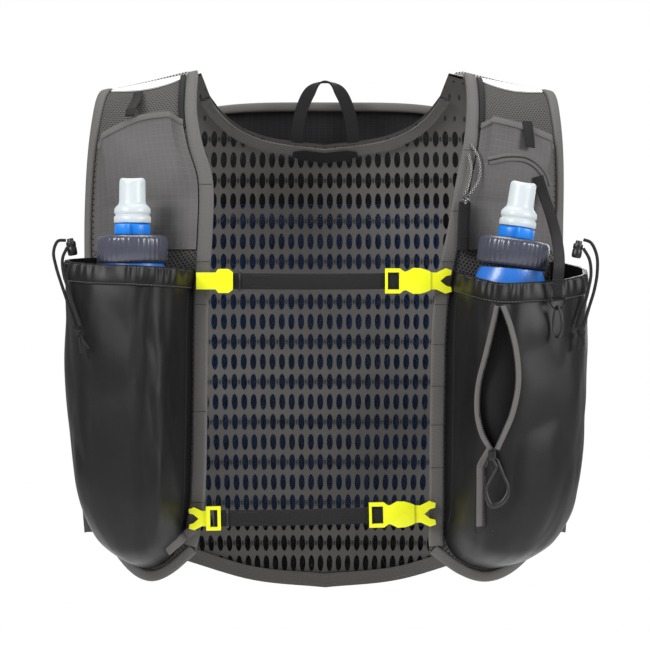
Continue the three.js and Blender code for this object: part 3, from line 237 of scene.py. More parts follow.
class EffectLibrary:
    """Shader node groups that several finishes share, each built once."""

    def __init__(self) -> None:
        """Starts with no groups."""
        self._made: dict[str, bpy.types.ShaderNodeTree] = {}

    def _new(self, name: str, inputs: Sequence[tuple[str, str, float]],
             outputs: Sequence[tuple[str, str]]) -> tuple[bpy.types.ShaderNodeTree, "Wiring"]:
        """Starts a group.

        Args:
            name: the group's name.
            inputs: name, socket kind and default of each input.
            outputs: name and socket kind of each output.

        Returns:
            The tree and a helper that wires it.
        """
        tree = bpy.data.node_groups.new(name, "ShaderNodeTree")
        for label, kind, default in inputs:
            socket = tree.interface.new_socket(label, in_out="INPUT", socket_type=f"NodeSocket{kind}")
            if kind == "Float":
                socket.default_value = default
        for label, kind in outputs:
            tree.interface.new_socket(label, in_out="OUTPUT", socket_type=f"NodeSocket{kind}")
        self._made[name] = tree
        return tree, Wiring(tree)

    def thread_weave(self) -> bpy.types.ShaderNodeTree:
        """Over-and-under threads: height and tone."""
        if "thread_weave" in self._made:
            return self._made["thread_weave"]
        tree, wire = self._new("thread_weave", [("Vector", "Vector", 0), ("Pitch", "Float", 1.0)],
                               [("Height", "Float"), ("Tone", "Float")])
        start, end = wire.ends()
        parts = wire.add("ShaderNodeSeparateXYZ", {0: start.outputs["Vector"]})
        angle = wire.maths("DIVIDE", math.pi, start.outputs["Pitch"])
        waves = [wire.maths("SINE", wire.maths("MULTIPLY", parts.outputs[k], angle)) for k in (0, 1)]
        height = wire.maths("MULTIPLY", waves[0], waves[1])
        wire.join(height, end.inputs["Height"])
        wire.join(wire.maths("MULTIPLY_ADD", height, 0.5, 0.5), end.inputs["Tone"])
        return tree

    def net_holes(self) -> bpy.types.ShaderNodeTree:
        """Holes in offset rows: a mask that is 1 in a hole, and the height of the strands."""
        if "net_holes" in self._made:
            return self._made["net_holes"]
        tree, wire = self._new("net_holes", [("Vector", "Vector", 0), ("Pitch", "Float", 2.0),
                                             ("Hole", "Float", 0.34), ("Tall", "Float", 1.0)],
                               [("Mask", "Float"), ("Height", "Float")])
        start, end = wire.ends()
        parts = wire.add("ShaderNodeSeparateXYZ", {0: start.outputs["Vector"]})
        column = wire.maths("DIVIDE", parts.outputs[0], start.outputs["Pitch"])
        row = wire.maths("DIVIDE", parts.outputs[1],
                         wire.maths("MULTIPLY", start.outputs["Pitch"], start.outputs["Tall"]))
        line = wire.maths("FLOOR", row)
        moved = wire.maths("MULTIPLY_ADD", wire.maths("MODULO", line, 2.0), 0.5, column)
        across = wire.maths("SUBTRACT", wire.maths("FRACT", moved), 0.5)
        along = wire.maths("SUBTRACT", wire.maths("FRACT", row), 0.5)
        far = wire.maths("SQRT", wire.maths("ADD", wire.maths("MULTIPLY", across, across),
                                            wire.maths("MULTIPLY", along, along)))
        edge = wire.maths("SUBTRACT", far, start.outputs["Hole"])
        wire.join(wire.maths("SUBTRACT", 1.0, wire.clamped(wire.maths("MULTIPLY_ADD", edge, 12.0, 0.5))),
                  end.inputs["Mask"])
        wire.join(wire.clamped(wire.maths("MULTIPLY_ADD", edge, 5.0, 0.3)), end.inputs["Height"])
        return tree

    def grid_lines(self) -> bpy.types.ShaderNodeTree:
        """Square grid of thicker threads: a mask of its lines."""
        if "grid_lines" in self._made:
            return self._made["grid_lines"]
        tree, wire = self._new("grid_lines", [("Vector", "Vector", 0), ("Pitch", "Float", 5.0),
                                              ("Line", "Float", 0.12)], [("Mask", "Float")])
        start, end = wire.ends()
        parts = wire.add("ShaderNodeSeparateXYZ", {0: start.outputs["Vector"]})
        lines = []
        for k in (0, 1):
            place = wire.maths("FRACT", wire.maths("DIVIDE", parts.outputs[k], start.outputs["Pitch"]))
            lines.append(wire.maths("LESS_THAN", place, start.outputs["Line"]))
        wire.join(wire.maths("MAXIMUM", lines[0], lines[1]), end.inputs["Mask"])
        return tree

    def handling(self) -> bpy.types.ShaderNodeTree:
        """Uneven tone of used material: tone around 1 and a fine height."""
        if "handling" in self._made:
            return self._made["handling"]
        tree, wire = self._new("handling", [("Vector", "Vector", 0), ("Scale", "Float", 30.0),
                                            ("Contrast", "Float", 0.2)],
                               [("Tone", "Float"), ("Height", "Float")])
        start, end = wire.ends()
        broad = wire.add("ShaderNodeTexNoise", {"Vector": start.outputs["Vector"],
                                                "Scale": start.outputs["Scale"]})
        broad.inputs["Detail"].default_value = 3.0
        fine = wire.add("ShaderNodeTexNoise", {"Vector": start.outputs["Vector"],
                                               "Scale": wire.maths("MULTIPLY", start.outputs["Scale"], 22.0)})
        fine.inputs["Detail"].default_value = 1.0
        shift = wire.maths("SUBTRACT", broad.outputs[0], 0.5)
        wire.join(wire.maths("MULTIPLY_ADD", shift, wire.maths("MULTIPLY", start.outputs["Contrast"], 2.0),
                             1.0),
                  end.inputs["Tone"])
        wire.join(fine.outputs[0], end.inputs["Height"])
        return tree


class Wiring:
    """Adds and joins nodes of one tree."""

    def __init__(self, tree: bpy.types.NodeTree) -> None:
        """Keeps the tree."""
        self.tree = tree

    def ends(self) -> tuple[bpy.types.Node, bpy.types.Node]:
        """Adds a group's input and output nodes and returns them."""
        return self.tree.nodes.new("NodeGroupInput"), self.tree.nodes.new("NodeGroupOutput")

    def join(self, source: bpy.types.NodeSocket, target: bpy.types.NodeSocket) -> None:
        """Joins two sockets."""
        self.tree.links.new(source, target)

    def add(self, kind: str, values: dict) -> bpy.types.Node:
        """Adds a node.

        Args:
            kind: Blender's name of the node.
            values: a socket to join or a number to set, by input.

        Returns:
            The node.
        """
        node = self.tree.nodes.new(kind)
        for key, value in values.items():
            if isinstance(value, bpy.types.NodeSocket):
                self.join(value, node.inputs[key])
            else:
                node.inputs[key].default_value = value
        return node

    def maths(self, operation: str, *values: object) -> bpy.types.NodeSocket:
        """Adds a maths node on sockets or numbers and returns its result."""
        node = self.tree.nodes.new("ShaderNodeMath")
        node.operation = operation
        for i, value in enumerate(values):
            if isinstance(value, bpy.types.NodeSocket):
                self.join(value, node.inputs[i])
            else:
                node.inputs[i].default_value = value
        return node.outputs[0]

    def clamped(self, socket: bpy.types.NodeSocket) -> bpy.types.NodeSocket:
        """Keeps a value between 0 and 1 and returns the new socket."""
        return self.add("ShaderNodeClamp", {0: socket}).outputs[0]

    def group(self, tree: bpy.types.NodeTree, values: dict) -> bpy.types.Node:
        """Places a node group.

        Args:
            tree: the group's tree.
            values: a socket to join or a number to set, by input.

        Returns:
            The group node.
        """
        node = self.tree.nodes.new("ShaderNodeGroup")
        node.node_tree = tree
        for key, value in values.items():
            if isinstance(value, bpy.types.NodeSocket):
                self.join(value, node.inputs[key])
            else:
                node.inputs[key].default_value = value
        return node


EFFECTS = EffectLibrary()


@dataclass(frozen=True)
class Finish:
    """A material's colours and close detail."""

    name: str
    colour: Colour
    second: Colour
    pattern: Pattern
    slot: str
    roughness: float = 0.8
    pitch: float = 1.0
    hole: float = 0.34
    relief: float = 0.0003
    sheen: float = 0.0
    coat: float = 0.0
    metallic: float = 0.0
    specular: float = 0.3
    clear: float = 0.0
    open_holes: bool = False
    contrast: float = 0.16

    def material(self) -> bpy.types.Material:
        """The material, built once and kept by its name.

        Returns:
            A node material.
        """
        made = bpy.data.materials.get(self.name)
        if made:
            return made
        material = bpy.data.materials.new(self.name)
        material.use_nodes = True
        material.diffuse_color = linear(self.colour)
        tree = material.node_tree
        wire = Wiring(tree)
        shader = tree.nodes["Principled BSDF"]
        for label, value in (("Roughness", self.roughness), ("Metallic", self.metallic),
                             ("Specular IOR Level", self.specular), ("Sheen Weight", self.sheen),
                             ("Coat Weight", self.coat), ("Transmission Weight", self.clear)):
            shader.inputs[label].default_value = value
        shader.inputs["Coat Roughness"].default_value = 0.15
        place = tree.nodes.new("ShaderNodeTexCoord")
        cloth = self.pattern not in (Pattern.MOULDED, Pattern.FILM)
        wear = wire.group(EFFECTS.handling(), {"Vector": place.outputs["Object"],
                                               "Scale": 26.0 if cloth else 60.0, "Contrast": self.contrast})
        mask, height = self._pattern(wire, place, wear)
        blend = tree.nodes.new("ShaderNodeMix")
        blend.data_type = "RGBA"
        colours = [s for s in blend.inputs if s.type == "RGBA"]
        colours[0].default_value, colours[1].default_value = linear(self.colour), linear(self.second)
        wire.join(mask, blend.inputs[0])
        tint = tree.nodes.new("ShaderNodeVectorMath")
        tint.operation = "SCALE"
        wire.join([s for s in blend.outputs if s.type == "RGBA"][0], tint.inputs[0])
        wire.join(wear.outputs["Tone"], tint.inputs["Scale"])
        wire.join(tint.outputs[0], shader.inputs["Base Color"])
        wire.join(wire.clamped(wire.maths("MULTIPLY", wear.outputs["Tone"], self.roughness)),
                  shader.inputs["Roughness"])
        bump = wire.add("ShaderNodeBump", {"Height": height})
        bump.inputs["Strength"].default_value = 0.8
        bump.inputs["Distance"].default_value = self.relief
        wire.join(bump.outputs[0], shader.inputs["Normal"])
        if self.open_holes:
            wire.join(wire.maths("SUBTRACT", 1.0, mask), shader.inputs["Alpha"])
        return material

    def _pattern(self, wire: Wiring, place: bpy.types.Node,
                 wear: bpy.types.Node) -> tuple[bpy.types.NodeSocket, bpy.types.NodeSocket]:
        """Mask of the second colour and height of the pattern.

        Args:
            wire: the material's wiring.
            place: its coordinates.
            wear: its handling group.

        Returns:
            The mask and the height.
        """
        flat = place.outputs["UV"]
        if self.pattern in (Pattern.MOULDED, Pattern.FILM):
            return wire.clamped(wire.maths("MULTIPLY_ADD", wear.outputs["Height"], 1.2, -0.3)), wear.outputs["Height"]
        if self.pattern is Pattern.NET or self.pattern is Pattern.SLITS:
            tall = 0.87 if self.pattern is Pattern.NET else 1.0
            net = wire.group(EFFECTS.net_holes(), {"Vector": flat, "Pitch": self.pitch, "Hole": self.hole,
                                                   "Tall": tall})
            return net.outputs["Mask"], net.outputs["Height"]
        if self.pattern is Pattern.RIPSTOP:
            lines = wire.group(EFFECTS.grid_lines(), {"Vector": flat, "Pitch": self.pitch, "Line": 0.14})
            weave = wire.group(EFFECTS.thread_weave(), {"Vector": flat, "Pitch": self.pitch / 6})
            return lines.outputs["Mask"], wire.maths("MULTIPLY_ADD", weave.outputs["Tone"], 0.3,
                                                     lines.outputs["Mask"])
        weave = wire.group(EFFECTS.thread_weave(), {"Vector": flat, "Pitch": self.pitch})
        if self.pattern is Pattern.BRAID:
            return wire.maths("GREATER_THAN", weave.outputs["Tone"], 1 - self.hole), weave.outputs["Tone"]
        return weave.outputs["Tone"], wire.maths("MULTIPLY_ADD", wear.outputs["Height"], 0.3,
                                                 weave.outputs["Tone"])


NET = Finish("oval_net", (92, 90, 88), (48, 47, 46), Pattern.SLITS, "mesh", pitch=1.0, hole=0.13,
             relief=0.0004,
             roughness=0.9)
MESH = Finish("shoulder_mesh", (84, 82, 80), (34, 34, 34), Pattern.NET, "mesh", pitch=2.6, hole=0.3,
              relief=0.0006, roughness=0.9)
SPACER = Finish("spacer_net", (66, 65, 65), (22, 24, 30), Pattern.NET, "webbing", pitch=2.6, hole=0.43,
                relief=0.0004, roughness=0.95, open_holes=True)
WING = Finish("side_mesh", (58, 56, 55), (22, 22, 22), Pattern.NET, "mesh", pitch=2.2, hole=0.32,
              relief=0.0005, roughness=0.9)
NYLON = Finish("pocket_nylon", (17, 17, 18), (22, 21, 22), Pattern.WEAVE, "pocket", pitch=0.7, relief=0.0001,
               roughness=0.36, specular=0.26, contrast=0.1)
SHELL = Finish("shell_nylon", (38, 38, 40), (46, 46, 48), Pattern.RIPSTOP, "shell", pitch=5.0, relief=0.0002,
               roughness=0.6)
RIPSTOP = Finish("thin_ripstop", (80, 78, 78), (90, 88, 87), Pattern.RIPSTOP, "ripstop", pitch=4.2,
                 relief=0.0002, roughness=0.55, contrast=0.1)
TAPE = Finish("folded_tape", (102, 100, 99), (84, 82, 81), Pattern.WEBBING, "binding", pitch=0.9,
              relief=0.0003,
              roughness=0.85)
BLACK_TAPE = Finish("black_webbing", (17, 17, 19), (26, 26, 28), Pattern.WEBBING, "webbing", pitch=1.1,
                    relief=0.0004, roughness=0.8)
REFLECTIVE = Finish("reflective_tape", (226, 226, 224), (206, 207, 208), Pattern.RIPSTOP, "reflective",
                    pitch=1.6, relief=0.00015, roughness=0.4, specular=0.5, contrast=0.04)
FILM = Finish("blue_film", (30, 104, 196), (44, 124, 214), Pattern.FILM, "film", roughness=0.3, specular=0.5,
              coat=0.3, relief=0.0002)
CAP = Finish("smoked_cap", (58, 60, 74), (70, 72, 86), Pattern.MOULDED, "cap", roughness=0.28, specular=0.5,
             coat=0.25, relief=0.00006)
VALVE = Finish("milky_silicone", (206, 214, 217), (190, 200, 204), Pattern.MOULDED, "valve", roughness=0.35,
               specular=0.5, clear=0.12, relief=0.00005, contrast=0.05)
LEVER = Finish("lever_blue", (16, 120, 220), (22, 134, 232), Pattern.MOULDED, "lever", roughness=0.32,
               specular=0.5, relief=0.00005, contrast=0.06)
YELLOW = Finish("buckle_yellow", (226, 230, 14), (214, 216, 8), Pattern.MOULDED, "buckle", roughness=0.38,
                specular=0.45, relief=0.00006, contrast=0.04)
BLACK_PLASTIC = Finish("black_plastic", (20, 20, 22), (27, 27, 29), Pattern.MOULDED, "pull", roughness=0.4,
                       specular=0.45, relief=0.00008)
WIRE = Finish("dark_wire", (30, 30, 32), (44, 44, 46), Pattern.MOULDED, "wire", roughness=0.3, metallic=0.7,
              relief=0.00005)
CORD = Finish("black_braid", (24, 24, 25), (48, 48, 50), Pattern.BRAID, "cord", pitch=1.2, hole=0.3,
              relief=0.0004, roughness=0.8)
SPECKLED = Finish("speckled_braid", (18, 18, 19), (214, 214, 212), Pattern.BRAID, "cord", pitch=1.5, hole=0.3,
                  relief=0.0004, roughness=0.75)
THREAD = Finish("sewing_thread", (112, 110, 110), (92, 90, 90), Pattern.MOULDED, "binding", roughness=0.8,
                relief=0.00005)
DARK_THREAD = Finish("dark_thread", (58, 57, 58), (44, 43, 44), Pattern.MOULDED, "pocket", roughness=0.8,
                     relief=0.00005)


# Making meshes

class Builder:
    """Turns points in millimetres into finished pieces of the scene."""

    def __init__(self) -> None:
        """Starts with no pieces."""
        self.made: list[bpy.types.Object] = []

    def mesh(self, name: str, points: Sequence[Vector], faces: Sequence[Sequence[int]], finish: Finish,
             uvs: Optional[Sequence[tuple[float, float]]] = None, sharp: float = 42.0,
             smooth: bool = True) -> bpy.types.Object:
        """Makes a piece from points and faces.

        Args:
            name: the piece's name.
            points: corners in millimetres.
            faces: corner numbers of each face, turning anticlockwise seen from outside.
            finish: the material.
            uvs: a flat place in millimetres for each corner point.
            sharp: angle in degrees above which an edge stays sharp.
            smooth: whether the faces are shaded smoothly.

        Returns:
            The object, at the origin.
        """
        data = bpy.data.meshes.new(name)
        data.from_pydata([p * MM for p in points], [], [tuple(f) for f in faces])
        if uvs is not None:
            layer = data.uv_layers.new(name="flat")
            for loop in data.loops:
                layer.data[loop.index].uv = uvs[loop.vertex_index]
        data.materials.append(finish.material())
        obj = bpy.data.objects.new(name, data)
        bpy.context.scene.collection.objects.link(obj)
        self._face_out(data)
        if smooth:
            data.shade_smooth()
            data.set_sharp_from_angle(angle=math.radians(sharp))
        obj["slot_wanted"] = finish.slot
        return obj

    @staticmethod
    def _face_out(data: bpy.types.Mesh) -> None:
        """Turns a mesh whose faces point inwards right side out."""
        work = bmesh.new()
        work.from_mesh(data)
        if work.calc_volume(signed=True) < 0:
            bmesh.ops.reverse_faces(work, faces=work.faces)
            work.to_mesh(data)
        work.free()

    def cloth(self, name: str, surface: Surface, columns: int, rows: int, wall: float, finish: Finish,
              span: tuple[float, float], hole: Callable[[int, int], bool] = lambda i, j: False,
              levels: int = 0) -> bpy.types.Object:
        """Makes a cloth wall with a back and a front face.

        Args:
            name: the piece's name.
            surface: point for two shares and a lift.
            columns: cells across.
            rows: cells down.
            wall: thickness.
            finish: the material.
            span: width and length of the cloth, for its pattern.
            hole: says which cells stay open.
            levels: subdivision levels.

        Returns:
            The object.
        """
        points, uvs, faces = [], [], []
        for k in (0, 1):
            for j in range(rows + 1):
                for i in range(columns + 1):
                    points.append(surface(i / columns, j / rows, k * wall))
                    uvs.append((span[0] * i / columns, span[1] * (1 - j / rows)))
        layer = (rows + 1) * (columns + 1)

        def spot(i: int, j: int) -> int:
            """Number of a point of the back face."""
            return j * (columns + 1) + i

        def is_open(i: int, j: int) -> bool:
            """Whether a cell has no cloth."""
            return i < 0 or j < 0 or i >= columns or j >= rows or hole(i, j)

        for j in range(rows):
            for i in range(columns):
                if is_open(i, j):
                    continue
                a, b, c, d = spot(i, j), spot(i + 1, j), spot(i + 1, j + 1), spot(i, j + 1)
                faces += [(a, d, c, b), (a + layer, b + layer, c + layer, d + layer)]
                for outside, (p, q) in ((is_open(i, j - 1), (a, b)), (is_open(i + 1, j), (b, c)),
                                        (is_open(i, j + 1), (c, d)), (is_open(i - 1, j), (d, a))):
                    if outside:
                        faces.append((p, q, q + layer, p + layer))
        obj = self.mesh(name, points, faces, finish, uvs)
        if levels:
            self.subdivide(obj, levels)
        return obj

    def band(self, name: str, centres: Sequence[Vector], normals: Sequence[Vector], width: float,
             height: float, finish: Finish, closed: bool = False, rounding: float = 0.5,
             widths: Optional[Sequence[float]] = None) -> bpy.types.Object:
        """Makes a tape with a soft rounded section along a path.

        Args:
            name: the piece's name.
            centres: middle of the tape's back.
            normals: direction out of the tape's face at each.
            width: its width.
            height: its thickness.
            finish: the material.
            closed: whether it meets itself.
            rounding: how far the edges fall, as a share of the thickness.
            widths: a width at each place, where it changes.

        Returns:
            The object.
        """
        count = len(centres)
        section = [(-0.5, 0.0), (0.5, 0.0), (0.5, 1 - rounding), (0.42, 1 - rounding * 0.25), (0.2, 1.0),
                   (-0.2, 1.0), (-0.42, 1 - rounding * 0.25), (-0.5, 1 - rounding)]
        points, uvs, faces, run = [], [], [], 0.0
        for i, centre in enumerate(centres):
            before = centres[(i - 1) % count] if closed else centres[max(0, i - 1)]
            after = centres[(i + 1) % count] if closed else centres[min(count - 1, i + 1)]
            along = (after - before).normalized()
            wide = along.cross(normals[i]).normalized()
            out = wide.cross(along).normalized()
            if out.dot(normals[i]) < 0:
                out = -out
            own = widths[i] if widths else width
            if i:
                run += (centre - centres[i - 1]).length
            for s, h in section:
                points.append(centre + wide * (s * own) + out * (h * height))
                uvs.append((s * own, run))
        sides = len(section)
        for i in range(count if closed else count - 1):
            a, b = i * sides, ((i + 1) % count) * sides
            for j in range(sides):
                k = (j + 1) % sides
                faces.append((a + j, a + k, b + k, b + j))
        if not closed:
            faces += [tuple(range(sides - 1, -1, -1)), tuple(range((count - 1) * sides, count * sides))]
        return self.mesh(name, points, faces, finish, uvs, sharp=60)

    def tube(self, name: str, path: Sequence[Vector], radii: Sequence[float], finish: Finish, sides: int = 14,
             closed: bool = False) -> bpy.types.Object:
        """Makes a round tube along a path.

        Args:
            name: the piece's name.
            path: points in millimetres.
            radii: radius at each point.
            finish: the material.
            sides: corners round it.
            closed: whether it meets itself.

        Returns:
            The object.
        """
        count = len(path)
        points, uvs, faces, run = [], [], [], 0.0
        out = None
        for i, centre in enumerate(path):
            before = path[(i - 1) % count] if closed else path[max(0, i - 1)]
            after = path[(i + 1) % count] if closed else path[min(count - 1, i + 1)]
            along = (after - before).normalized()
            if out is None:
                out = along.cross(Vector((0, 1, 0)))
                if out.length < 0.1:
                    out = along.cross(Vector((1, 0, 0)))
            out = (out - along * out.dot(along)).normalized()
            up = along.cross(out)
            if i:
                run += (centre - path[i - 1]).length
            for k in range(sides):
                turn = 2 * math.pi * k / sides
                points.append(centre + (out * math.cos(turn) + up * math.sin(turn)) * radii[i])
                uvs.append((6.0 * abs(2 * k / sides - 1), run))
        for i in range(count if closed else count - 1):
            a, b = i * sides, ((i + 1) % count) * sides
            for j in range(sides):
                k = (j + 1) % sides
                faces.append((a + j, b + j, b + k, a + k))
        if not closed:
            faces += [tuple(range(sides)), tuple(range(count * sides - 1, (count - 1) * sides - 1, -1))]
        return self.mesh(name, points, faces, finish, uvs, sharp=60)

    def rings(self, name: str, rings: Sequence[Sequence[Vector]], finish: Finish, sharp: float = 40.0,
              levels: int = 0) -> bpy.types.Object:
        """Makes a closed body through rings of points, from its lowest to its highest.

        Args:
            name: the piece's name.
            rings: rings with the same number of points.
            finish: the material.
            sharp: angle above which an edge stays sharp.
            levels: subdivision levels.

        Returns:
            The object.
        """
        sides = len(rings[0])
        points = [p for ring in rings for p in ring]
        faces = [tuple(range(sides - 1, -1, -1)), tuple(range((len(rings) - 1) * sides, len(rings) * sides))]
        for i in range(len(rings) - 1):
            a, b = i * sides, (i + 1) * sides
            faces += [(a + j, a + (j + 1) % sides, b + (j + 1) % sides, b + j) for j in range(sides)]
        uvs = [(p.x, p.z) for p in points]
        obj = self.mesh(name, points, faces, finish, uvs, sharp=sharp)
        if levels:
            self.subdivide(obj, levels)
        return obj

    def subdivide(self, obj: bpy.types.Object, levels: int) -> None:
        """Smooths a piece with a subdivision surface and keeps the result as its mesh."""
        modifier = obj.modifiers.new("smooth", "SUBSURF")
        modifier.levels = modifier.render_levels = levels
        self.settle(obj)

    @staticmethod
    def settle(obj: bpy.types.Object) -> None:
        """Turns a piece's modifiers into its plain mesh."""
        graph = bpy.context.evaluated_depsgraph_get()
        data = bpy.data.meshes.new_from_object(obj.evaluated_get(graph))
        obj.modifiers.clear()
        obj.data = data

    def moulded(self, node: str, finish: Finish, bevel: float, body: str = "vest") -> bpy.types.Object:
        """Replaces a moulded node by a copy with rounded edges.

        Args:
            node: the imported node.
            finish: the material.
            bevel: radius of its edges in millimetres.
            body: the body that it rides on.

        Returns:
            The new piece.
        """
        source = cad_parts[node]
        data = source.data.copy()
        data.transform(source.matrix_world)
        data.materials.clear()
        data.materials.append(finish.material())
        work = bmesh.new()
        work.from_mesh(data)
        bmesh.ops.remove_doubles(work, verts=work.verts, dist=0.00002)
        bmesh.ops.dissolve_limit(work, angle_limit=math.radians(2), verts=work.verts, edges=work.edges)
        work.to_mesh(data)
        work.free()
        obj = bpy.data.objects.new(f"{node}_piece", data)
        bpy.context.scene.collection.objects.link(obj)
        modifier = obj.modifiers.new("edges", "BEVEL")
        modifier.width, modifier.segments = bevel * MM, 3
        modifier.limit_method, modifier.angle_limit = "ANGLE", math.radians(28)
        modifier.use_clamp_overlap = True
        self.settle(obj)
        obj.data.shade_smooth()
        obj.data.set_sharp_from_angle(angle=math.radians(38))
        obj["slot_wanted"] = finish.slot
        return self.finish(obj, body, node)

    def finish(self, obj: bpy.types.Object, body: str = "vest", *nodes: str) -> bpy.types.Object:
        """Lets a piece ride on its body and stand for its nodes, and reports it.

        Args:
            obj: the piece.
            body: the body that it rides on.
            nodes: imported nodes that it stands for.

        Returns:
            The same piece.
        """
        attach(obj, body)
        if nodes:
            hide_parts(*nodes)
        self.made.append(obj)
        log.info("%s: %d faces", obj.name, len(obj.data.polygons))
        return obj


BUILD = Builder()


def smooth_path(rows: Sequence[Sequence[float]], steps: int = 10, closed: bool = False) -> list[Vector]:
    """Smooth line through points.

    Args:
        rows: points in millimetres.
        steps: points for each stretch.
        closed: whether it meets itself.

    Returns:
        The points of a centripetal curve.
    """
    knots = [Vector(row) for row in rows]
    count = len(knots)
    path = []
    for i in range(count if closed else count - 1):
        b, c = knots[i], knots[(i + 1) % count]
        a = knots[(i - 1) % count] if closed or i else b * 2 - c
        d = knots[(i + 2) % count] if closed or i + 2 < count else c * 2 - b
        t0, t1 = 0.0, max(1e-4, (b - a).length) ** 0.5
        t2 = t1 + max(1e-4, (c - b).length) ** 0.5
        t3 = t2 + max(1e-4, (d - c).length) ** 0.5
        for k in range(steps):
            t = t1 + (t2 - t1) * k / steps
            p = a * ((t1 - t) / (t1 - t0)) + b * ((t - t0) / (t1 - t0))
            q = b * ((t2 - t) / (t2 - t1)) + c * ((t - t1) / (t2 - t1))
            r = c * ((t3 - t) / (t3 - t2)) + d * ((t - t2) / (t3 - t2))
            s = p * ((t2 - t) / (t2 - t0)) + q * ((t - t0) / (t2 - t0))
            u = q * ((t3 - t) / (t3 - t1)) + r * ((t - t1) / (t3 - t1))
            path.append(s * ((t2 - t) / (t2 - t1)) + u * ((t - t1) / (t2 - t1)))
    if not closed:
        path.append(knots[-1])
    return path


class Sewing:
    """Stitches made by a geometry node tree that repeats one stitch along a line."""

    def __init__(self) -> None:
        """Builds the tree."""
        tree = bpy.data.node_groups.new("stitch_run", "GeometryNodeTree")
        for label, kind, flow in (("Geometry", "NodeSocketGeometry", "INPUT"),
                                  ("Pitch", "NodeSocketFloat", "INPUT"),
                                  ("Length", "NodeSocketFloat", "INPUT"),
                                  ("Radius", "NodeSocketFloat", "INPUT"),
                                  ("Thread", "NodeSocketMaterial", "INPUT"),
                                  ("Geometry", "NodeSocketGeometry", "OUTPUT")):
            tree.interface.new_socket(label, in_out=flow, socket_type=kind)
        wire = Wiring(tree)
        start, end = wire.ends()
        curve = wire.add("GeometryNodeMeshToCurve", {0: start.outputs["Geometry"]})
        run = wire.add("GeometryNodeResampleCurve", {})
        run.mode = "LENGTH"
        wire.join(curve.outputs[0], run.inputs["Curve"])
        wire.join(start.outputs["Pitch"], run.inputs["Length"])
        stitch = wire.add("GeometryNodeMeshUVSphere", {"Segments": 6, "Rings": 4, "Radius": 0.5})
        size = wire.add("ShaderNodeCombineXYZ", {0: wire.maths("MULTIPLY", start.outputs["Radius"], 2.0),
                                                 1: wire.maths("MULTIPLY", start.outputs["Radius"], 2.0),
                                                 2: start.outputs["Length"]})
        tangent = wire.add("GeometryNodeInputTangent", {})
        turn = wire.add("FunctionNodeAlignRotationToVector", {"Vector": tangent.outputs[0]})
        turn.axis = "Z"
        places = wire.add("GeometryNodeInstanceOnPoints",
                          {"Points": run.outputs[0], "Instance": stitch.outputs[0],
                                                           "Rotation": turn.outputs[0],
                                                           "Scale": size.outputs[0]})
        real = wire.add("GeometryNodeRealizeInstances", {0: places.outputs[0]})
        done = wire.add("GeometryNodeSetMaterial",
                        {"Geometry": real.outputs[0], "Material": start.outputs["Thread"]})
        wire.join(done.outputs[0], end.inputs[0])
        self.tree = tree

    def sew(self, name: str, lines: Sequence[Sequence[Vector]], finish: Finish, pitch: float = 3.0,
            length: float = 2.1, radius: float = 0.28, body: str = "vest") -> bpy.types.Object:
        """Sews stitches along lines.

        Args:
            name: the piece's name.
            lines: lines of points in millimetres, on the cloth.
            finish: the thread.
            pitch: distance between stitches.
            length: length of one.
            radius: half its width.
            body: the body that they ride on.

        Returns:
            The stitches as one piece.
        """
        points, edges = [], []
        for line in lines:
            first = len(points)
            points += [p * MM for p in line]
            edges += [(first + i, first + i + 1) for i in range(len(line) - 1)]
        data = bpy.data.meshes.new(name)
        data.from_pydata(points, edges, [])
        obj = bpy.data.objects.new(name, data)
        bpy.context.scene.collection.objects.link(obj)
        modifier = obj.modifiers.new("stitches", "NODES")
        modifier.node_group = self.tree
        sockets = {item.name: item.identifier for item in self.tree.interface.items_tree
                   if item.in_out == "INPUT"}
        modifier[sockets["Pitch"]] = pitch * MM
        modifier[sockets["Length"]] = length * MM
        modifier[sockets["Radius"]] = radius * MM
        modifier[sockets["Thread"]] = finish.material()
        Builder.settle(obj)
        obj.data.shade_smooth()
        obj["slot_wanted"] = finish.slot
        return BUILD.finish(obj, body)


# The back

# across, drop: neckline of the back, then its lower edge
NECKLINE = [(0.0, 0.13), (0.23, 0.115), (0.35, 0.094), (0.42, 0.07), (0.475, 0.04), (0.515, 0.006)]
BACK_HEM = [(0.0, 1.027), (0.3, 1.012), (0.55, 0.975), (0.8, 0.93), (1.0, 0.9)]
BACK_EDGE = [(0.0, 0.88), (0.1, 0.905), (0.3, 0.93), (0.5, 0.93), (0.8, 0.9), (1.1, 0.84)]


@lru_cache(maxsize=None)
def back_top(x: float) -> float:
    """Level of the back's neckline at a distance from the middle."""
    across = abs(x) / HALF_WIDTH
    if across >= NECKLINE[-1][0]:
        return CREST_AT
    return level_at(x, -VEST_LENGTH * look_up(NECKLINE, 1, across), 1)


@lru_cache(maxsize=None)
def back_bottom(x: float) -> float:
    """Level of the back's lower edge at a distance from the middle."""
    return level_at(x, -VEST_LENGTH * look_up(BACK_HEM, 1, abs(x) / HALF_WIDTH), 1)


def back_edge(at: float) -> float:
    """Half width of the back at a level."""
    return HALF_WIDTH * look_up(BACK_EDGE, 1, at)


def trunk_band(name: str, path: Sequence[tuple[float, float, int]], width: float, height: float, lift: float,
               finish: Finish) -> bpy.types.Object:
    """Tape lying on the trunk.

    Args:
        name: the piece's name.
        path: place across, level and side of each station.
        width: its width.
        height: its thickness.
        lift: distance off the trunk.
        finish: the material.

    Returns:
        The tape.
    """
    normals = [outward(*row) for row in path]
    centres = [trunk(*row) + n * lift for row, n in zip(path, normals)]
    return BUILD.band(name, centres, normals, width, height, finish)


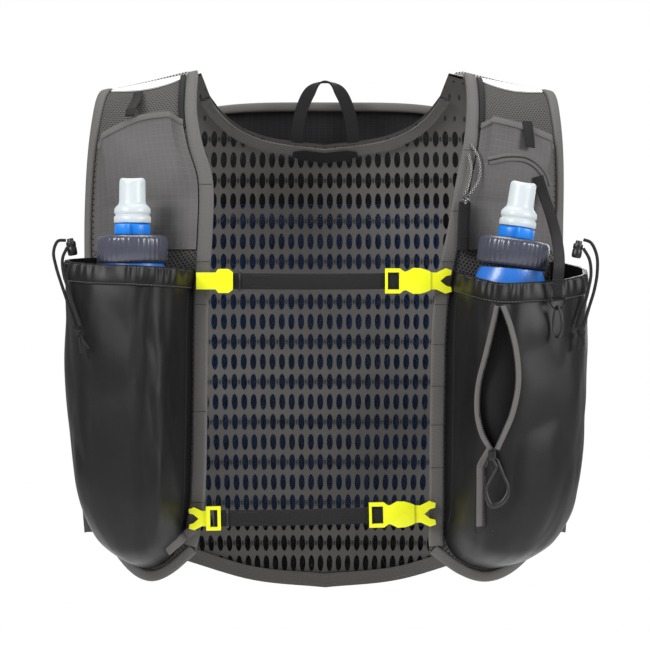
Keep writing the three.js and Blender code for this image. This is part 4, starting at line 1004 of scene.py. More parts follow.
@dataclass
class BackPanel:
    """Net, spacer, reservoir, sleeve shell and their bindings."""

    columns: int = 46
    pitch_down: float = 16.4
    oval_across: float = 0.66
    oval_down: float = 0.8
    oval_sides: int = 14
    strap_level: float = 0.14
    reservoir_lift: float = 12.6
    reservoir_top: float = 0.31
    reservoir_length: float = 236.0
    reservoir_width: float = 190.0
    reservoir_thickness: float = 16.0
    shell_half: float = 150.0
    shell_top_z: float = -19.0
    shell_mouth: float = 26.0
    loop_width: float = 56.0
    loop_height: float = 52.0
    loop_webbing: float = 10.0
    stitch_lines: list[list[Vector]] = field(default_factory=list)

    def build(self) -> None:
        """Builds the whole back."""
        self.net()
        self.spacer()
        self.reservoir()
        self.shell()
        self.bindings()
        self.hang_loop()
        BUILD_SEWING.sew("back_stitches", self.stitch_lines, THREAD, 3.2, 2.2, 0.26)

    def net(self) -> None:
        """Net with tall ovals cut right through, in straight rows."""
        top = trunk(0, CREST_AT, 1).z
        rows = int((VEST_LENGTH * 1.03 + top) / self.pitch_down) + 1
        levels = [CREST_AT] + [level_at(0.0, -self.pitch_down * (j + 0.35), 1) for j in range(rows + 1)]
        points: list[Vector] = []
        uvs: list[tuple[float, float]] = []
        faces: list[tuple[int, ...]] = []
        grid: dict[tuple[int, int, int], int] = {}
        height: dict[tuple[int, int], float] = {}

        def place(a: float, at: float) -> tuple[float, float]:
            """Place across and level inside the back's outline."""
            held = min(max(at, back_top(a * back_edge(back_top(a * 100.0)))), back_bottom(a * back_edge(1.0)))
            return a * back_edge(held), held

        def corner(i: int, j: int, k: int) -> int:
            """Number of a grid corner on one face."""
            key = (i, j, k)
            if key not in grid:
                x, at = place(2 * i / self.columns - 1, levels[j])
                height[(i, j)] = at
                grid[key] = len(points)
                points.append(lifted(x, at, 1, k * NET_WALL))
                uvs.append((i, float(j)))
            return grid[key]

        for j in range(len(levels) - 1):
            for i in range(self.columns):
                back = [corner(i, j, 0), corner(i + 1, j, 0), corner(i + 1, j + 1, 0), corner(i, j + 1, 0)]
                front = [corner(i, j, 1), corner(i + 1, j, 1), corner(i + 1, j + 1, 1), corner(i, j + 1, 1)]
                tall = [(points[front[3]] - points[front[0]]).length,
                        (points[front[2]] - points[front[1]]).length]
                if max(tall) < 0.4:
                    continue
                at_edge = j == 0 or i in (0, self.columns - 1)
                if min(tall) < 0.62 * self.pitch_down or at_edge or self.on_shoulder(i, j, levels):
                    faces += [tuple(reversed(back)), tuple(front)]
                    continue
                rings = []
                for square in (back, front):
                    first = len(points)
                    p = [points[n] for n in square]
                    for s in range(self.oval_sides):
                        turn = 2 * math.pi * (s + 0.5) / self.oval_sides - 0.75 * math.pi
                        u = 0.5 + 0.5 * self.oval_across * math.cos(turn)
                        v = 0.5 + 0.5 * self.oval_down * math.sin(turn)
                        points.append((p[0] * (1 - u) + p[1] * u) * (1 - v) + (p[3] * (1 - u) + p[2] * u) * v)
                        uvs.append((i + u, j + v))
                    rings.append(list(range(first, len(points))))
                for square, ring, turned in ((back, rings[0], True), (front, rings[1], False)):
                    found = self._ring_faces(square, ring)
                    faces += [tuple(reversed(f)) if turned else f for f in found]
                for s in range(self.oval_sides):
                    a, b = s, (s + 1) % self.oval_sides
                    faces.append((rings[0][a], rings[0][b], rings[1][b], rings[1][a]))
        obj = BUILD.mesh("net_panel", points, faces, NET, uvs, sharp=50)
        BUILD.finish(obj, "vest", "back_mesh")

    def on_shoulder(self, i: int, j: int, levels: Sequence[float]) -> bool:
        """Whether a cell lies on a shoulder strap, where the net is closed.

        Args:
            i: the cell's column.
            j: its row.
            levels: level of each row.

        Returns:
            True above the neckline's ends.
        """
        across = abs(2 * (i + 0.5) / self.columns - 1) * back_edge(levels[j])
        return levels[j] < self.strap_level and across > 0.42 * HALF_WIDTH

    def _ring_faces(self, square: Sequence[int], ring: Sequence[int]) -> list[tuple[int, ...]]:
        """Faces between a cell's corners and its oval.

        Args:
            square: the four corners in order.
            ring: the oval's points, starting at the first corner.

        Returns:
            The faces.
        """
        faces = []
        count = len(ring)
        for s in range(count):
            a, b = ring[s], ring[(s + 1) % count]
            near = int(((s + 1) % count) * 4 / count + 0.5) % 4
            after = int(((s + 2) % count) * 4 / count + 0.5) % 4
            faces.append((square[near], b, a))
            if after != near:
                faces.append((square[near], square[after], b))
        return faces

    def spacer(self) -> None:
        """Finer net behind the ovals, that lets the blue through."""
        def sheet(u: float, v: float, lift: float) -> Vector:
            """Point of the spacer."""
            a = 2 * u - 1
            top = back_top(a * (back_edge(0.0) - 11)) + 0.004
            at = mix(top, back_bottom(a * (back_edge(1.0) - 11)) - 0.01, v)
            p = lifted(a * (back_edge(at) - 11), at, 1, 5.4 + lift)
            return p + Vector((0, ripple(p, 60, 0.8), 0))
        obj = BUILD.cloth("spacer_panel", sheet, 48, 48, 1.0, SPACER, (350, 400))
        BUILD.finish(obj, "vest", "back_liner")

    def reservoir(self) -> None:
        """Flat film bag with a welded border."""
        def bag(u: float, v: float, lift: float) -> Vector:
            """Point of the bag."""
            a, b = 2 * u - 1, 2 * v - 1
            full = math.sqrt(max(0.0, (1 - abs(a) ** 4) * (1 - abs(b) ** 6)))
            at = mix(self.reservoir_top, self.reservoir_top + self.reservoir_length / VEST_LENGTH, v)
            high = 1.5 + (self.reservoir_thickness - 2) * full if lift else 0.0
            p = lifted(a * self.reservoir_width / 2, at, 1, self.reservoir_lift + high)
            return p + Vector((0, ripple(p, 32, 1.1 if lift else 0.5), 0))
        obj = BUILD.cloth("reservoir_bag", bag, 44, 52, 1.0, FILM, (190, 236))
        BUILD.finish(obj, "vest", "reservoir")

    def shell_point(self, u: float, v: float, lift: float) -> Vector:
        """Point of the sleeve's outer shell.

        Args:
            u: share across.
            v: share down.
            lift: distance out of the shell's inner face.

        Returns:
            The point.
        """
        a = 2 * u - 1
        top = level_at(a * self.shell_half, self.shell_top_z - 26 * a ** 4, 1)
        at = mix(top, back_bottom(a * self.shell_half) - 0.012, v ** 1.7)
        edge = min(1.0, (1 - abs(a)) / 0.28)
        low = min(1.0, (1 - v ** 1.7) / 0.1)
        rise = math.sin(edge * math.pi / 2) * math.sin(low * math.pi / 2)
        base = self.reservoir_lift + 1.2
        mouth = self.shell_mouth * max(0.0, 1 - v ** 1.7 / 0.3) ** 2 * math.sin(edge * math.pi / 2)
        point = trunk(a * self.shell_half, at, 1)
        wave = ripple(point, 46, 1.4) * edge + 0.9 * math.sin(point.z / 17 + a * 3) * edge * (1 - edge * 0.4)
        return point + Vector((0, base + mouth + (self.reservoir_thickness + 3 + 11.4 - base + 1.2) * rise
                               + wave * rise + lift, 0))

    def shell(self) -> None:
        """Outer shell with its rim binding and side seams."""
        obj = BUILD.cloth("sleeve_shell", self.shell_point, 56, 56, 1.4, SHELL, (300, 390))
        BUILD.finish(obj, "vest", "back_shell")
        rows = [self.shell_point(i / 60, 0.004, 0.7) for i in range(61)]
        rim = BUILD.band("sleeve_rim", [p + Vector((0, -2.2, 0.6)) for p in rows],
                         [Vector((0, -1, 0.1)).normalized()] * 61, 7.5, 3.6, TAPE, rounding=0.7)
        BUILD.finish(rim, "vest", "shell_binding")
        for u in (0.06, 0.94):
            self.stitch_lines.append([self.shell_point(u, 0.02 + 0.95 * k / 60, 1.7) for k in range(61)])
        self.stitch_lines.append([self.shell_point(0.04 + 0.92 * k / 60, 0.975, 1.7) for k in range(61)])

    @staticmethod
    def _flat(obj: bpy.types.Object) -> dict:
        """Flat size of a cloth wall from its own faces.

        Args:
            obj: the piece.

        Returns:
            A dictionary of its flat size, with the area left as None.
        """
        area = sum(p.area for p in obj.data.polygons) / 2
        xs = [v.co.x for v in obj.data.vertices]
        width = max(xs) - min(xs)
        return {"flat": (width, area / width), "area": None}

    def bindings(self) -> None:
        """Neck binding, label and the tape of the lower edge."""
        inside = -2.6
        neck = 0.955 * NECKLINE[-1][0] * HALF_WIDTH
        path = []
        for i in range(81):
            x = neck * math.sin((i / 40 - 1) * math.pi / 2)
            path.append((x, back_top(x * 0.995) + 0.012, 1))
        obj = trunk_band("neck_tape", path, BINDING_WIDTH + 0.6, 2.2, inside - 1.2, TAPE)
        BUILD.finish(obj, "vest", "neck_binding")
        for shift in (-2.7, 2.7):
            self.stitch_lines.append([trunk(x, at + shift / VEST_LENGTH * 1.6, side)
                                      + outward(x, at, side) * (inside - 1.3) for x, at, side in path[4:-4]])
        path = [(mix(-0.96, 0.96, i / 70) * back_edge(1.0),) for i in range(71)]
        rows = [(x, back_bottom(x) - 0.014, 1) for (x,) in path]
        obj = trunk_band("lower_tape", rows, BINDING_WIDTH + 2.6, 2.0, inside - 0.2, TAPE)
        BUILD.finish(obj, "vest", "bottom_binding")
        for shift in (-0.008, 0.008):
            self.stitch_lines.append([trunk(x, at + shift, 1) + outward(x, at, 1) * (inside - 0.3)
                                      for x, at, _ in rows[2:-2]])
        label = []
        for i in range(15):
            x = mix(-26, 26, i / 14)
            label.append((x, back_top(x) + 0.017, 1))
        normals = [outward(*row) for row in label]
        centres = [trunk(*row) + n * (inside - 2.6) for row, n in zip(label, normals)]
        taper = [8.8 if abs(x) < 18 else 8.8 - 0.62 * (abs(x) - 18) for x, _, _ in label]
        obj = BUILD.band("plain_label", centres, normals, 8.8, 0.9, BLACK_TAPE, widths=taper)
        BUILD.finish(obj, "vest", "neck_label")

    def hang_loop(self) -> None:
        """Webbing loop that turns edge-on at its top."""
        y = trunk(0, back_top(0), 1).y + 0.6
        base = lifted(0, back_top(0), 1, 1.0).z
        centres = []
        for i in range(49):
            turn = i / 48 * math.pi
            c, s = math.cos(turn), math.sin(turn)
            centres.append(Vector((-(self.loop_width / 2 - self.loop_webbing / 2) * c * (1 - 0.12 * s), y,
                                   base + 2.7 + self.loop_height * s ** 0.8 - 3)))
        points, uvs, faces, run = [], [], [], 0.0
        for i, centre in enumerate(centres):
            along = (centres[min(48, i + 1)] - centres[max(0, i - 1)]).normalized()
            lie = math.sin(i / 48 * math.pi) ** 5
            flat = along.cross(Vector((0, 1, 0))).normalized()
            wide = (flat * (1 - lie) + Vector((0, 1, 0)) * lie).normalized()
            out = wide.cross(along).normalized()
            run += (centre - centres[max(0, i - 1)]).length
            for s, h in ((-0.5, -0.5), (0.5, -0.5), (0.5, 0.5), (-0.5, 0.5)):
                points.append(centre + wide * s * self.loop_webbing + out * h * 1.6)
                uvs.append((s * self.loop_webbing, run))
        for i in range(48):
            faces += [(4 * i + j, 4 * i + 4 + j, 4 * i + 4 + (j + 1) % 4,
                       4 * i + (j + 1) % 4) for j in range(4)]
        faces += [(0, 1, 2, 3), (195, 194, 193, 192)]
        obj = BUILD.mesh("hanging_loop", points, faces, BLACK_TAPE, uvs, sharp=50)
        BUILD.finish(obj, "vest", "hang_loop")


# The front panels

# level, inner edge, outer edge: shares of HALF_WIDTH
FRONT_EDGES = {
    -1: [(0.0, 0.51, 0.872), (0.08, 0.507, 0.9), (0.16, 0.503, 0.915), (0.22, 0.478, 0.925),
         (0.28, 0.436, 0.932),
         (0.36, 0.434, 0.936), (0.48, 0.449, 0.93), (0.65, 0.453, 0.915), (0.82, 0.463, 0.885),
         (0.9, 0.49, 0.85),
         (1.0, 0.54, 0.8)],
    1: [(0.0, 0.555, 0.89), (0.08, 0.56, 0.915), (0.16, 0.556, 0.925), (0.22, 0.54, 0.93), (0.28, 0.51, 0.93),
        (0.36, 0.475, 0.925), (0.48, 0.42, 0.92), (0.65, 0.405, 0.91), (0.82, 0.402, 0.885), (0.9, 0.4, 0.85),
        (1.0, 0.43, 0.8)],
}
FRONT_HEM = [(0.0, 0.915), (0.25, 0.958), (0.5, 0.974), (0.75, 0.955), (1.0, 0.895)]
# across, level: mouth of the upper pockets
TOP_POCKET_MOUTH = {-1: [(0, 0.172), (0.5, 0.178), (1, 0.21)], 1: [(0, 0.178), (0.5, 0.19), (1, 0.21)]}
TAPE_LIFT = PANEL_WALL + 0.3


def inner_edge(sign: int, at: float) -> float:
    """Place across of a front panel's inner edge."""
    return sign * HALF_WIDTH * look_up(FRONT_EDGES[sign], 1, at)


def outer_edge(sign: int, at: float) -> float:
    """Place across of a front panel's outer edge."""
    return sign * HALF_WIDTH * look_up(FRONT_EDGES[sign], 2, at)


def side_word(sign: int) -> str:
    """The side's word in the names."""
    return "left" if sign < 0 else "right"


@dataclass
class Harness:
    """One front panel with its wing, tapes, reflective band and upper pocket."""

    sign: int
    pocket_depth: float = 11.0
    pocket_end: float = 0.395
    wing_wall: float = 1.6
    stitch_lines: list[list[Vector]] = field(default_factory=list)
    dark_lines: list[list[Vector]] = field(default_factory=list)

    def build(self) -> None:
        """Builds the side."""
        word = side_word(self.sign)
        self.panel(word)
        self.wing(word)
        self.armhole_tape(word)
        self.edge_tape(word)
        self.reflective(word)
        self.top_pocket(word)
        BUILD_SEWING.sew(f"{word}_panel_stitches", self.stitch_lines, THREAD, 3.0, 2.1, 0.26)
        BUILD_SEWING.sew(f"{word}_bar_tacks", self.dark_lines, DARK_THREAD, 0.55, 0.9, 0.32)

    def panel(self, word: str) -> None:
        """Mesh panel from the shoulder to the hem."""
        def sheet(u: float, v: float, lift: float) -> Vector:
            """Point of the panel."""
            at = mix(CREST_AT, look_up(FRONT_HEM, 1, u), v ** 1.15)
            x = mix(inner_edge(self.sign, at), outer_edge(self.sign, at), u)
            return lifted(x, at, -1, lift)
        obj = BUILD.cloth(f"{word}_front_panel", sheet, 24, 60, PANEL_WALL, MESH, (85, 430))
        BUILD.finish(obj, "vest", f"{word}_harness")
        path = []
        for i in range(41):
            u = mix(0.03, 0.97, i / 40)
            at = look_up(FRONT_HEM, 1, u) - 0.008
            path.append((mix(inner_edge(self.sign, at), outer_edge(self.sign, at), u), at, -1))
        tape = trunk_band(f"{word}_hem_tape", path, BINDING_WIDTH, 1.9, TAPE_LIFT - 0.2, TAPE)
        BUILD.finish(tape, "vest", f"{word}_bottom_binding")

    def wing(self, word: str) -> None:
        """Stretch mesh under the arm."""
        def sheet(u: float, v: float, lift: float) -> Vector:
            """Point of the wing."""
            low = mix(look_up(FRONT_HEM, 1, 1), back_bottom(back_edge(1.0)), u) - 0.01
            at = mix(ARMHOLE_AT + 0.02 - 0.02 * math.sin(math.pi * u), low, v)
            half = HALF_WIDTH * look_up(LEVELS, WIDTH, at) * 0.9995
            start, end = abs(outer_edge(self.sign, at)) + 0.6, back_edge(at) + 0.6
            turn = 2 * u - 1
            edge, face = (start, -1) if turn < 0 else (end, 1)
            p = lifted(self.sign * mix(half, edge, abs(turn) ** 2.2), at, face, lift)
            hold = math.sin(math.pi * u) * math.sin(math.pi * min(1, v * 1.2))
            return p + Vector((self.sign * ripple(p, 40, 1.1) * hold, 0, 0))
        obj = BUILD.cloth(f"{word}_wing", sheet, 48, 36, self.wing_wall, WING, (190, 170))
        BUILD.finish(obj, "vest", f"{word}_side_wing")

    def armhole_tape(self, word: str) -> None:
        """Binding round the armhole."""
        inset = BINDING_WIDTH / 2 - 0.5
        path = []
        for i in range(41):
            at = mix(0.004, ARMHOLE_AT - 0.05, (i / 40) ** 1.4)
            path.append((self.sign * (abs(outer_edge(self.sign, at)) - inset), at, -1))
        under = HALF_WIDTH * look_up(LEVELS, WIDTH, ARMHOLE_AT)
        for share, face, drop in ((0.965, -1, 0.0), (0.982, -1, 0.014), (0.993, -1, 0.022),
                                  (0.9985, -1, 0.027),
                                  (1, 1, 0.028), (0.9985, 1, 0.027), (0.993, 1, 0.022), (0.982, 1, 0.014),
                                  (0.965, 1, 0.0)):
            path.append((self.sign * under * share, ARMHOLE_AT + drop, face))
        for i in range(40, -1, -1):
            at = mix(0.004, ARMHOLE_AT - 0.05, (i / 40) ** 1.4)
            path.append((self.sign * (back_edge(at) - inset), at, 1))
        obj = trunk_band(f"{word}_arm_tape", path, BINDING_WIDTH, 2.2, PANEL_WALL + 0.4, TAPE)
        BUILD.finish(obj, "vest", f"{word}_armhole_binding")
        self.stitch_lines.append([trunk(x - self.sign * 1.9, at, side) + outward(x, at,
                                                                                 side) * (PANEL_WALL + 2.5)
                                  for x, at, side in path[1:41]])

    def edge_tape(self, word: str) -> None:
        """Tape down the inner edge, with bar tacks; the loops between them lie flat."""
        path, widths = [], []
        last = look_up(FRONT_HEM, 1, 0) - 0.01
        for i in range(91):
            at = mix(0.004, last, (i / 90) ** 1.2)
            wide = mix(7.6, EDGE_TAPE_WIDTH, min(1.0, at / 0.3))
            widths.append(wide)
            path.append((inner_edge(self.sign, at) + self.sign * (wide / 2 - 0.6), at, -1))
        normals = [outward(*row) for row in path]
        centres = [trunk(*row) + n * (PANEL_WALL + 0.35) for row, n in zip(path, normals)]
        obj = BUILD.band(f"{word}_inner_tape", centres, normals, EDGE_TAPE_WIDTH, 2.1, TAPE, widths=widths)
        BUILD.finish(obj, "vest", f"{word}_edge_tape")
        for share in (-0.34, 0.34):
            line = []
            for (x, at, side), wide in list(zip(path, widths))[2:-2]:
                line.append(trunk(x + share * wide, at, side) + outward(x, at, side) * (PANEL_WALL + 2.45))
            self.stitch_lines.append(line)
        tacks = (-66, -112, -150, -182, -212, -243, -272, -304) if self.sign > 0 else (-92, -150, -182, -262,
                                                                                       -330)
        for z in tacks:
            at = level_at(inner_edge(self.sign, 0.4), z)
            x = inner_edge(self.sign, at)
            wide = mix(7.6, EDGE_TAPE_WIDTH, min(1.0, at / 0.3))
            self.dark_lines.append([lifted(x + self.sign * (0.3 + (wide - 1.8) * k / 12), at, -1,
                                           PANEL_WALL + 2.5)
                                    for k in range(13)])
        # narrow webbing beside the edge tape over the shoulder
        rows = []
        for i in range(31):
            at = mix(0.01, 0.19, i / 30)
            rows.append((inner_edge(self.sign, at) + self.sign * 11.4, at, -1))
        strip = trunk_band(f"{word}_shoulder_strip", rows, 4.6, 1.1, TAPE_LIFT, BLACK_TAPE)
        BUILD.finish(strip)

    def reflective(self, word: str) -> None:
        """Plain reflective band over the crest."""
        def sheet(u: float, v: float, lift: float) -> Vector:
            """Point of the band."""
            at = mix(0.004, 0.09 - 0.02 * (2 * u - 1) ** 2, v)
            x = mix(inner_edge(self.sign, at) + self.sign * 13, outer_edge(self.sign, at) - self.sign * 9, u)
            return lifted(x, at, -1, TAPE_LIFT + lift)
        obj = BUILD.cloth(f"{word}_crest_band", sheet, 20, 12, 1.0, REFLECTIVE, (50, 26))
        BUILD.finish(obj, "vest", f"{word}_reflective_band")

    def pocket_edge(self, at: float, u: float) -> float:
        """Place across of the upper pocket at a level and share."""
        return mix(inner_edge(self.sign, at) + self.sign * 11.2, outer_edge(self.sign, at) - self.sign * 8.6,
                   u)

    def pocket_lift(self, x: float, at: float) -> float:
        """Distance of the upper pocket's cloth off the trunk at a place."""
        start, end = self.pocket_edge(at, 0), self.pocket_edge(at, 1)
        u = min(1.0, max(0.0, (x - start) / (end - start)))
        top = look_up(TOP_POCKET_MOUTH[self.sign], 1, u)
        v = min(1.0, max(0.0, (at - top) / (self.pocket_end - top)))
        arch = min(1.0, 2.6 * math.sin(math.pi * u)) ** 1.5
        return TAPE_LIFT + self.pocket_depth * arch * max(0.0, 1 - v / 0.62) ** 0.8

    def pocket_point(self, x: float, at: float, lift: float) -> Vector:
        """Point of the upper pocket's cloth with its soft folds."""
        p = lifted(x, at, -1, self.pocket_lift(x, at) + lift)
        return p + Vector((0, min(0.0, ripple(p, 24, 1.5, self.sign * 9.0)), 0))

    def top_pocket(self, word: str) -> None:
        """Loose sheet with a hemmed mouth."""
        def sheet(u: float, v: float, lift: float) -> Vector:
            """Point of the sheet."""
            at = mix(look_up(TOP_POCKET_MOUTH[self.sign], 1, u), self.pocket_end, v)
            return self.pocket_point(self.pocket_edge(at, u), at, lift)
        obj = BUILD.cloth(f"{word}_chest_pocket", sheet, 40, 40, 1.0, RIPSTOP, (70, 92))
        BackPanel._flat(obj)
        BUILD.finish(obj, "vest", f"{word}_top_pocket")
        rim, out = [], []
        for i in range(41):
            u = i / 40
            at = look_up(TOP_POCKET_MOUTH[self.sign], 1, u) + 0.007
            x = self.pocket_edge(at, u)
            rim.append(self.pocket_point(x, at, 1.0))
            out.append(outward(x, at, -1))
        hem = BUILD.band(f"{word}_chest_hem", rim, out, 5.2, 0.9, TAPE)
        BUILD.finish(hem)
        self.stitch_lines.append([p + n * 1.0 + Vector((0, 0, -1.4)) for p, n in zip(rim, out)][2:-2])


# The bottle pockets

# down, depth, overhang, arch: form of a bottle pocket
POCKET_FORM = [(0, 0.97, 0.86, 0.7), (0.06, 0.98, 0.95, 0.7), (0.3, 1, 1, 0.68), (0.62, 1, 0.92, 0.66),
               (0.8, 0.97, 0.74, 0.66), (0.92, 0.8, 0.4, 0.7), (0.97, 0.52, 0.14, 0.78), (1, 0.07, 0, 0.85)]
MOUTH = {-1: [(0, 0.388), (0.5, 0.38), (1, 0.364)], 1: [(0, 0.392), (0.35, 0.415), (0.65, 0.403), (1, 0.372)]}
POCKET_FLOOR = [(0, 0.888), (0.25, 0.934), (0.5, 0.952), (0.75, 0.932), (1, 0.872)]
POCKET_OVERHANG = 25.0
SLIT = [(0.0, 128, 129), (0.15, 124.5, 134.5), (0.35, 119.5, 139), (0.55, 114.5, 139.8), (0.75, 113.5, 135.5),
        (0.9, 117, 129), (1.0, 123, 124.5)]
SLIT_TOP, SLIT_LENGTH = -183.0, 105.0


@lru_cache(maxsize=None)
def pocket_seams(sign: int, height: float) -> tuple[Vector, Vector]:
    """Where a bottle pocket is sewn to its panel at a height.

    Args:
        sign: the side.
        height: z of the place.

    Returns:
        The inner and the outer seam.
    """
    at = level_at(100.0, height)
    a = lifted(inner_edge(sign, at) + sign * (EDGE_TAPE_WIDTH + 1.5), at, -1, TAPE_LIFT)
    b = lifted(outer_edge(sign, at) - sign * (BINDING_WIDTH + 2), at, -1, TAPE_LIFT)
    return a, b


def even_arch(u: float) -> float:
    """Share round a pocket's arch that spreads its columns evenly."""
    return 0.5 - 0.5 * math.copysign(1, 0.5 - u) * abs(2 * u - 1) ** 1.15


@dataclass
class BottlePocket:
    """Pouch for a flask, with its gathered hem and its trims."""

    sign: int
    depth: float = 62.0
    turn: float = 17.0
    hem: float = 15.0
    zipped: bool = False
    light_lines: list[list[Vector]] = field(default_factory=list)
    dark_lines: list[list[Vector]] = field(default_factory=list)

    def point(self, s: float, down: float, lift: float, depth: Optional[float] = None,
              z: Optional[float] = None) -> Vector:
        """Point of the pouch.

        Args:
            s: share round the arch from the inner seam.
            down: share from the mouth to the floor.
            lift: distance out of the cloth's inner face.
            depth: how far it stands out, if not the pocket's own.
            z: height, if not from the share down.

        Returns:
            The point.
        """
        turn = math.radians(self.turn)
        along = Vector((self.sign * math.cos(turn), math.sin(turn), 0))
        out = Vector((self.sign * math.sin(turn), -math.cos(turn), 0))
        top = look_up(MOUTH[self.sign], 1, s)
        height = z if z is not None else -VEST_LENGTH * mix(top, look_up(POCKET_FLOOR, 1, s), down)
        a, b = pocket_seams(self.sign, round(height, 2))
        chord = b - a
        power = look_up(POCKET_FORM, 3, down)
        angle = math.pi * s
        share = (1 - math.copysign(1, math.cos(angle)) * abs(math.cos(angle)) ** power) / 2
        high = max(0.0, math.sin(angle)) ** power
        over = POCKET_OVERHANG * look_up(POCKET_FORM, 2, down) * share ** 3 * high
        reach = ((depth or self.depth) * look_up(POCKET_FORM, 1, down) + lift) * high
        point = a + along * (-lift + (chord.dot(along) + 2 * lift) * share + over) + out * (chord.dot(out) * share
                                                                                         + reach)
        point.z = height
        return point

    def folds(self, s: float, down: float) -> float:
        """Height of the cloth's folds: gathers below the hem and long soft creases.

        Args:
            s: share round the arch.
            down: share from the mouth.

        Returns:
            How far the cloth stands out, in millimetres.
        """
        hold = math.sin(math.pi * min(1.0, max(0.0, s))) ** 0.6
        gathers = 0.9 * math.sin(s * 46 + 2.2 * math.sin(down * 7)) * math.exp(-down * 9)
        place = Vector((s * 230, down * 96, self.sign * 40))
        leaning = Vector((s * 150 + down * 90, down * 70 - s * 60, self.sign * 90))
        creases = ripple(place, 30, 2.1) + 1.5 * abs(ripple(leaning, 21, 1.3, 7.0)) + ripple(place, 11, 0.45,
                                                                                             3.0)
        foot = 0.8 * math.sin(s * 38) * max(0.0, down - 0.8) * 4 * (1 - down)
        return (gathers + creases * min(1, down * 6) + foot) * hold

    def wall(self, u: float, v: float, lift: float) -> Vector:
        """Point of the pouch's cloth by even shares."""
        s, down = even_arch(u), 1 - (1 - v) ** 1.35
        return self.point(s, down, lift + self.folds(s, down) + 0.3)

    def build(self) -> None:
        """Builds the pocket and its trims."""
        word = side_word(self.sign)
        self.pouch(word)
        self.mouth_hem(word)
        self.seams()
        if self.zipped:
            self.lining()
            ZipFastener(self).build()
            self.curved_zip()
        else:
            self.corner_tab()
        BUILD_SEWING.sew(f"{word}_pocket_stitches", self.dark_lines, DARK_THREAD, 2.6, 1.9, 0.26)
        BUILD_SEWING.sew(f"{word}_hem_stitches", self.light_lines, THREAD, 2.6, 1.9, 0.22)

    def pouch(self, word: str) -> None:
        """Cloth of the pocket, with the slit left open on the zipped one."""
        columns, rows = 110, 84

        def in_slit(i: int, j: int) -> bool:
            """Whether a cell lies inside the slit, seen from the front."""
            p = self.wall((i + 0.5) / columns, (j + 0.5) / rows, 0)
            down = (SLIT_TOP - p.z) / SLIT_LENGTH
            if not 0 < down < 1 or p.y > -146:
                return False
            return look_up(SLIT, 1, down) < p.x < look_up(SLIT, 2, down)

        hole = in_slit if self.zipped else (lambda i, j: False)
        obj = BUILD.cloth(f"{word}_pouch", self.wall, columns, rows, 1.0, NYLON, (190, 225), hole=hole)
        BUILD.finish(obj, "vest", f"{word}_bottle_pocket")

    def mouth_hem(self, word: str) -> None:
        """Gathered hem round the mouth."""
        def sheet(u: float, v: float, lift: float) -> Vector:
            """Point of the hem."""
            s = mix(0.015, 0.985, even_arch(u))
            top, floor = look_up(MOUTH[self.sign], 1, s), look_up(POCKET_FLOOR, 1, s)
            down = (v * self.hem) / VEST_LENGTH / (floor - top)
            puff = 1.1 * math.sin(math.pi * v) ** 0.5
            gather = 0.55 * math.sin(u * 118 + 1.4 * math.sin(u * 31)) * (0.55 + 0.45 * math.cos(math.pi * v))
            return self.point(s, down, 1.55 + self.folds(s, down) * 0.7 + (lift + puff * (lift > 0))
                              + gather * (1 if lift else 0.4))
        obj = BUILD.cloth(f"{word}_mouth_hem", sheet, 220, 14, 0.9, NYLON, (190, 15))
        BUILD.finish(obj, "vest", f"{word}_pocket_hem")

    def seams(self) -> None:
        """Stitch lines round the hem and down both edges."""
        for level in (self.hem - 1.0, 1.6):
            line = []
            for i in range(121):
                s = mix(0.03, 0.97, even_arch(i / 120))
                top, floor = look_up(MOUTH[self.sign], 1, s), look_up(POCKET_FLOOR, 1, s)
                down = level / VEST_LENGTH / (floor - top)
                line.append(self.point(s, down, 3.2 + self.folds(s, down) * 0.7))
            self.light_lines.append(line)
        for s in (0.035, 0.965):
            self.dark_lines.append([self.point(s, mix(0.1, 0.93, k / 60), 1.9) for k in range(61)])

    def front_y(self, x: float, z: float, lift: float) -> Vector:
        """Point of the pocket's front behind a place seen from the front.

        Args:
            x: place across.
            z: height.
            lift: distance in front of the cloth.

        Returns:
            The point.
        """
        best = None
        for i in range(6, 160):
            s = i / 200
            top, low = -VEST_LENGTH * look_up(MOUTH[self.sign], 1, s), -VEST_LENGTH * look_up(POCKET_FLOOR, 1, s)
            down = max(0.0, min(1.0, (z - top) / (low - top)))
            p = self.point(s, down, 1.3 + self.folds(s, down) + lift)
            if best is None or abs(p.x - x) < abs(best.x - x):
                best = p
        return Vector((x, best.y, z))

    def lining(self) -> None:
        """Back of the zipped compartment."""
        def sheet(u: float, v: float, lift: float) -> Vector:
            """Point of the lining."""
            s = mix(0.16, 0.74, u)
            z = mix(-VEST_LENGTH * (look_up(MOUTH[1], 1, s) + 0.03), -VEST_LENGTH * 0.85, v)
            p = self.point(s, mix(0.06, 0.78, v), lift, depth=62.0, z=z)
            return p + Vector((0, ripple(p, 22, 0.8), 0))
        obj = BUILD.cloth("pocket_lining", sheet, 36, 40, 1.0, BLACK_TAPE, (90, 170))
        BUILD.finish(obj, "vest", "right_pocket_lining")

    def curved_zip(self) -> None:
        """Curved zip on the right upper pocket."""
        harness = Harness(1)
        rows = [(121.5, -76), (126, -75), (133, -73.5), (140, -73), (147, -73.5), (152.5, -75.5),
                (158, -79.5),
                (162.5, -85), (165.5, -92)]
        path = smooth_path([(x, 0, z) for x, z in rows], 8)
        centres, normals = [], []
        for p in path:
            at = level_at(p.x, p.z)
            start, end = harness.pocket_edge(at, 0.02), harness.pocket_edge(at, 0.98)
            x = min(max(p.x, start), end)
            centres.append(harness.pocket_point(x, at, 1.2))
            normals.append(outward(x, at, -1))
        obj = BUILD.band("curved_zip_tape", centres, normals, 6.4, 0.8, TAPE)
        BUILD.finish(obj)
        BUILD_SEWING.sew("curved_zip_teeth", [[c + n * 1.1 for c, n in zip(centres, normals)]], BLACK_PLASTIC,
                         1.3, 0.9, 0.75)

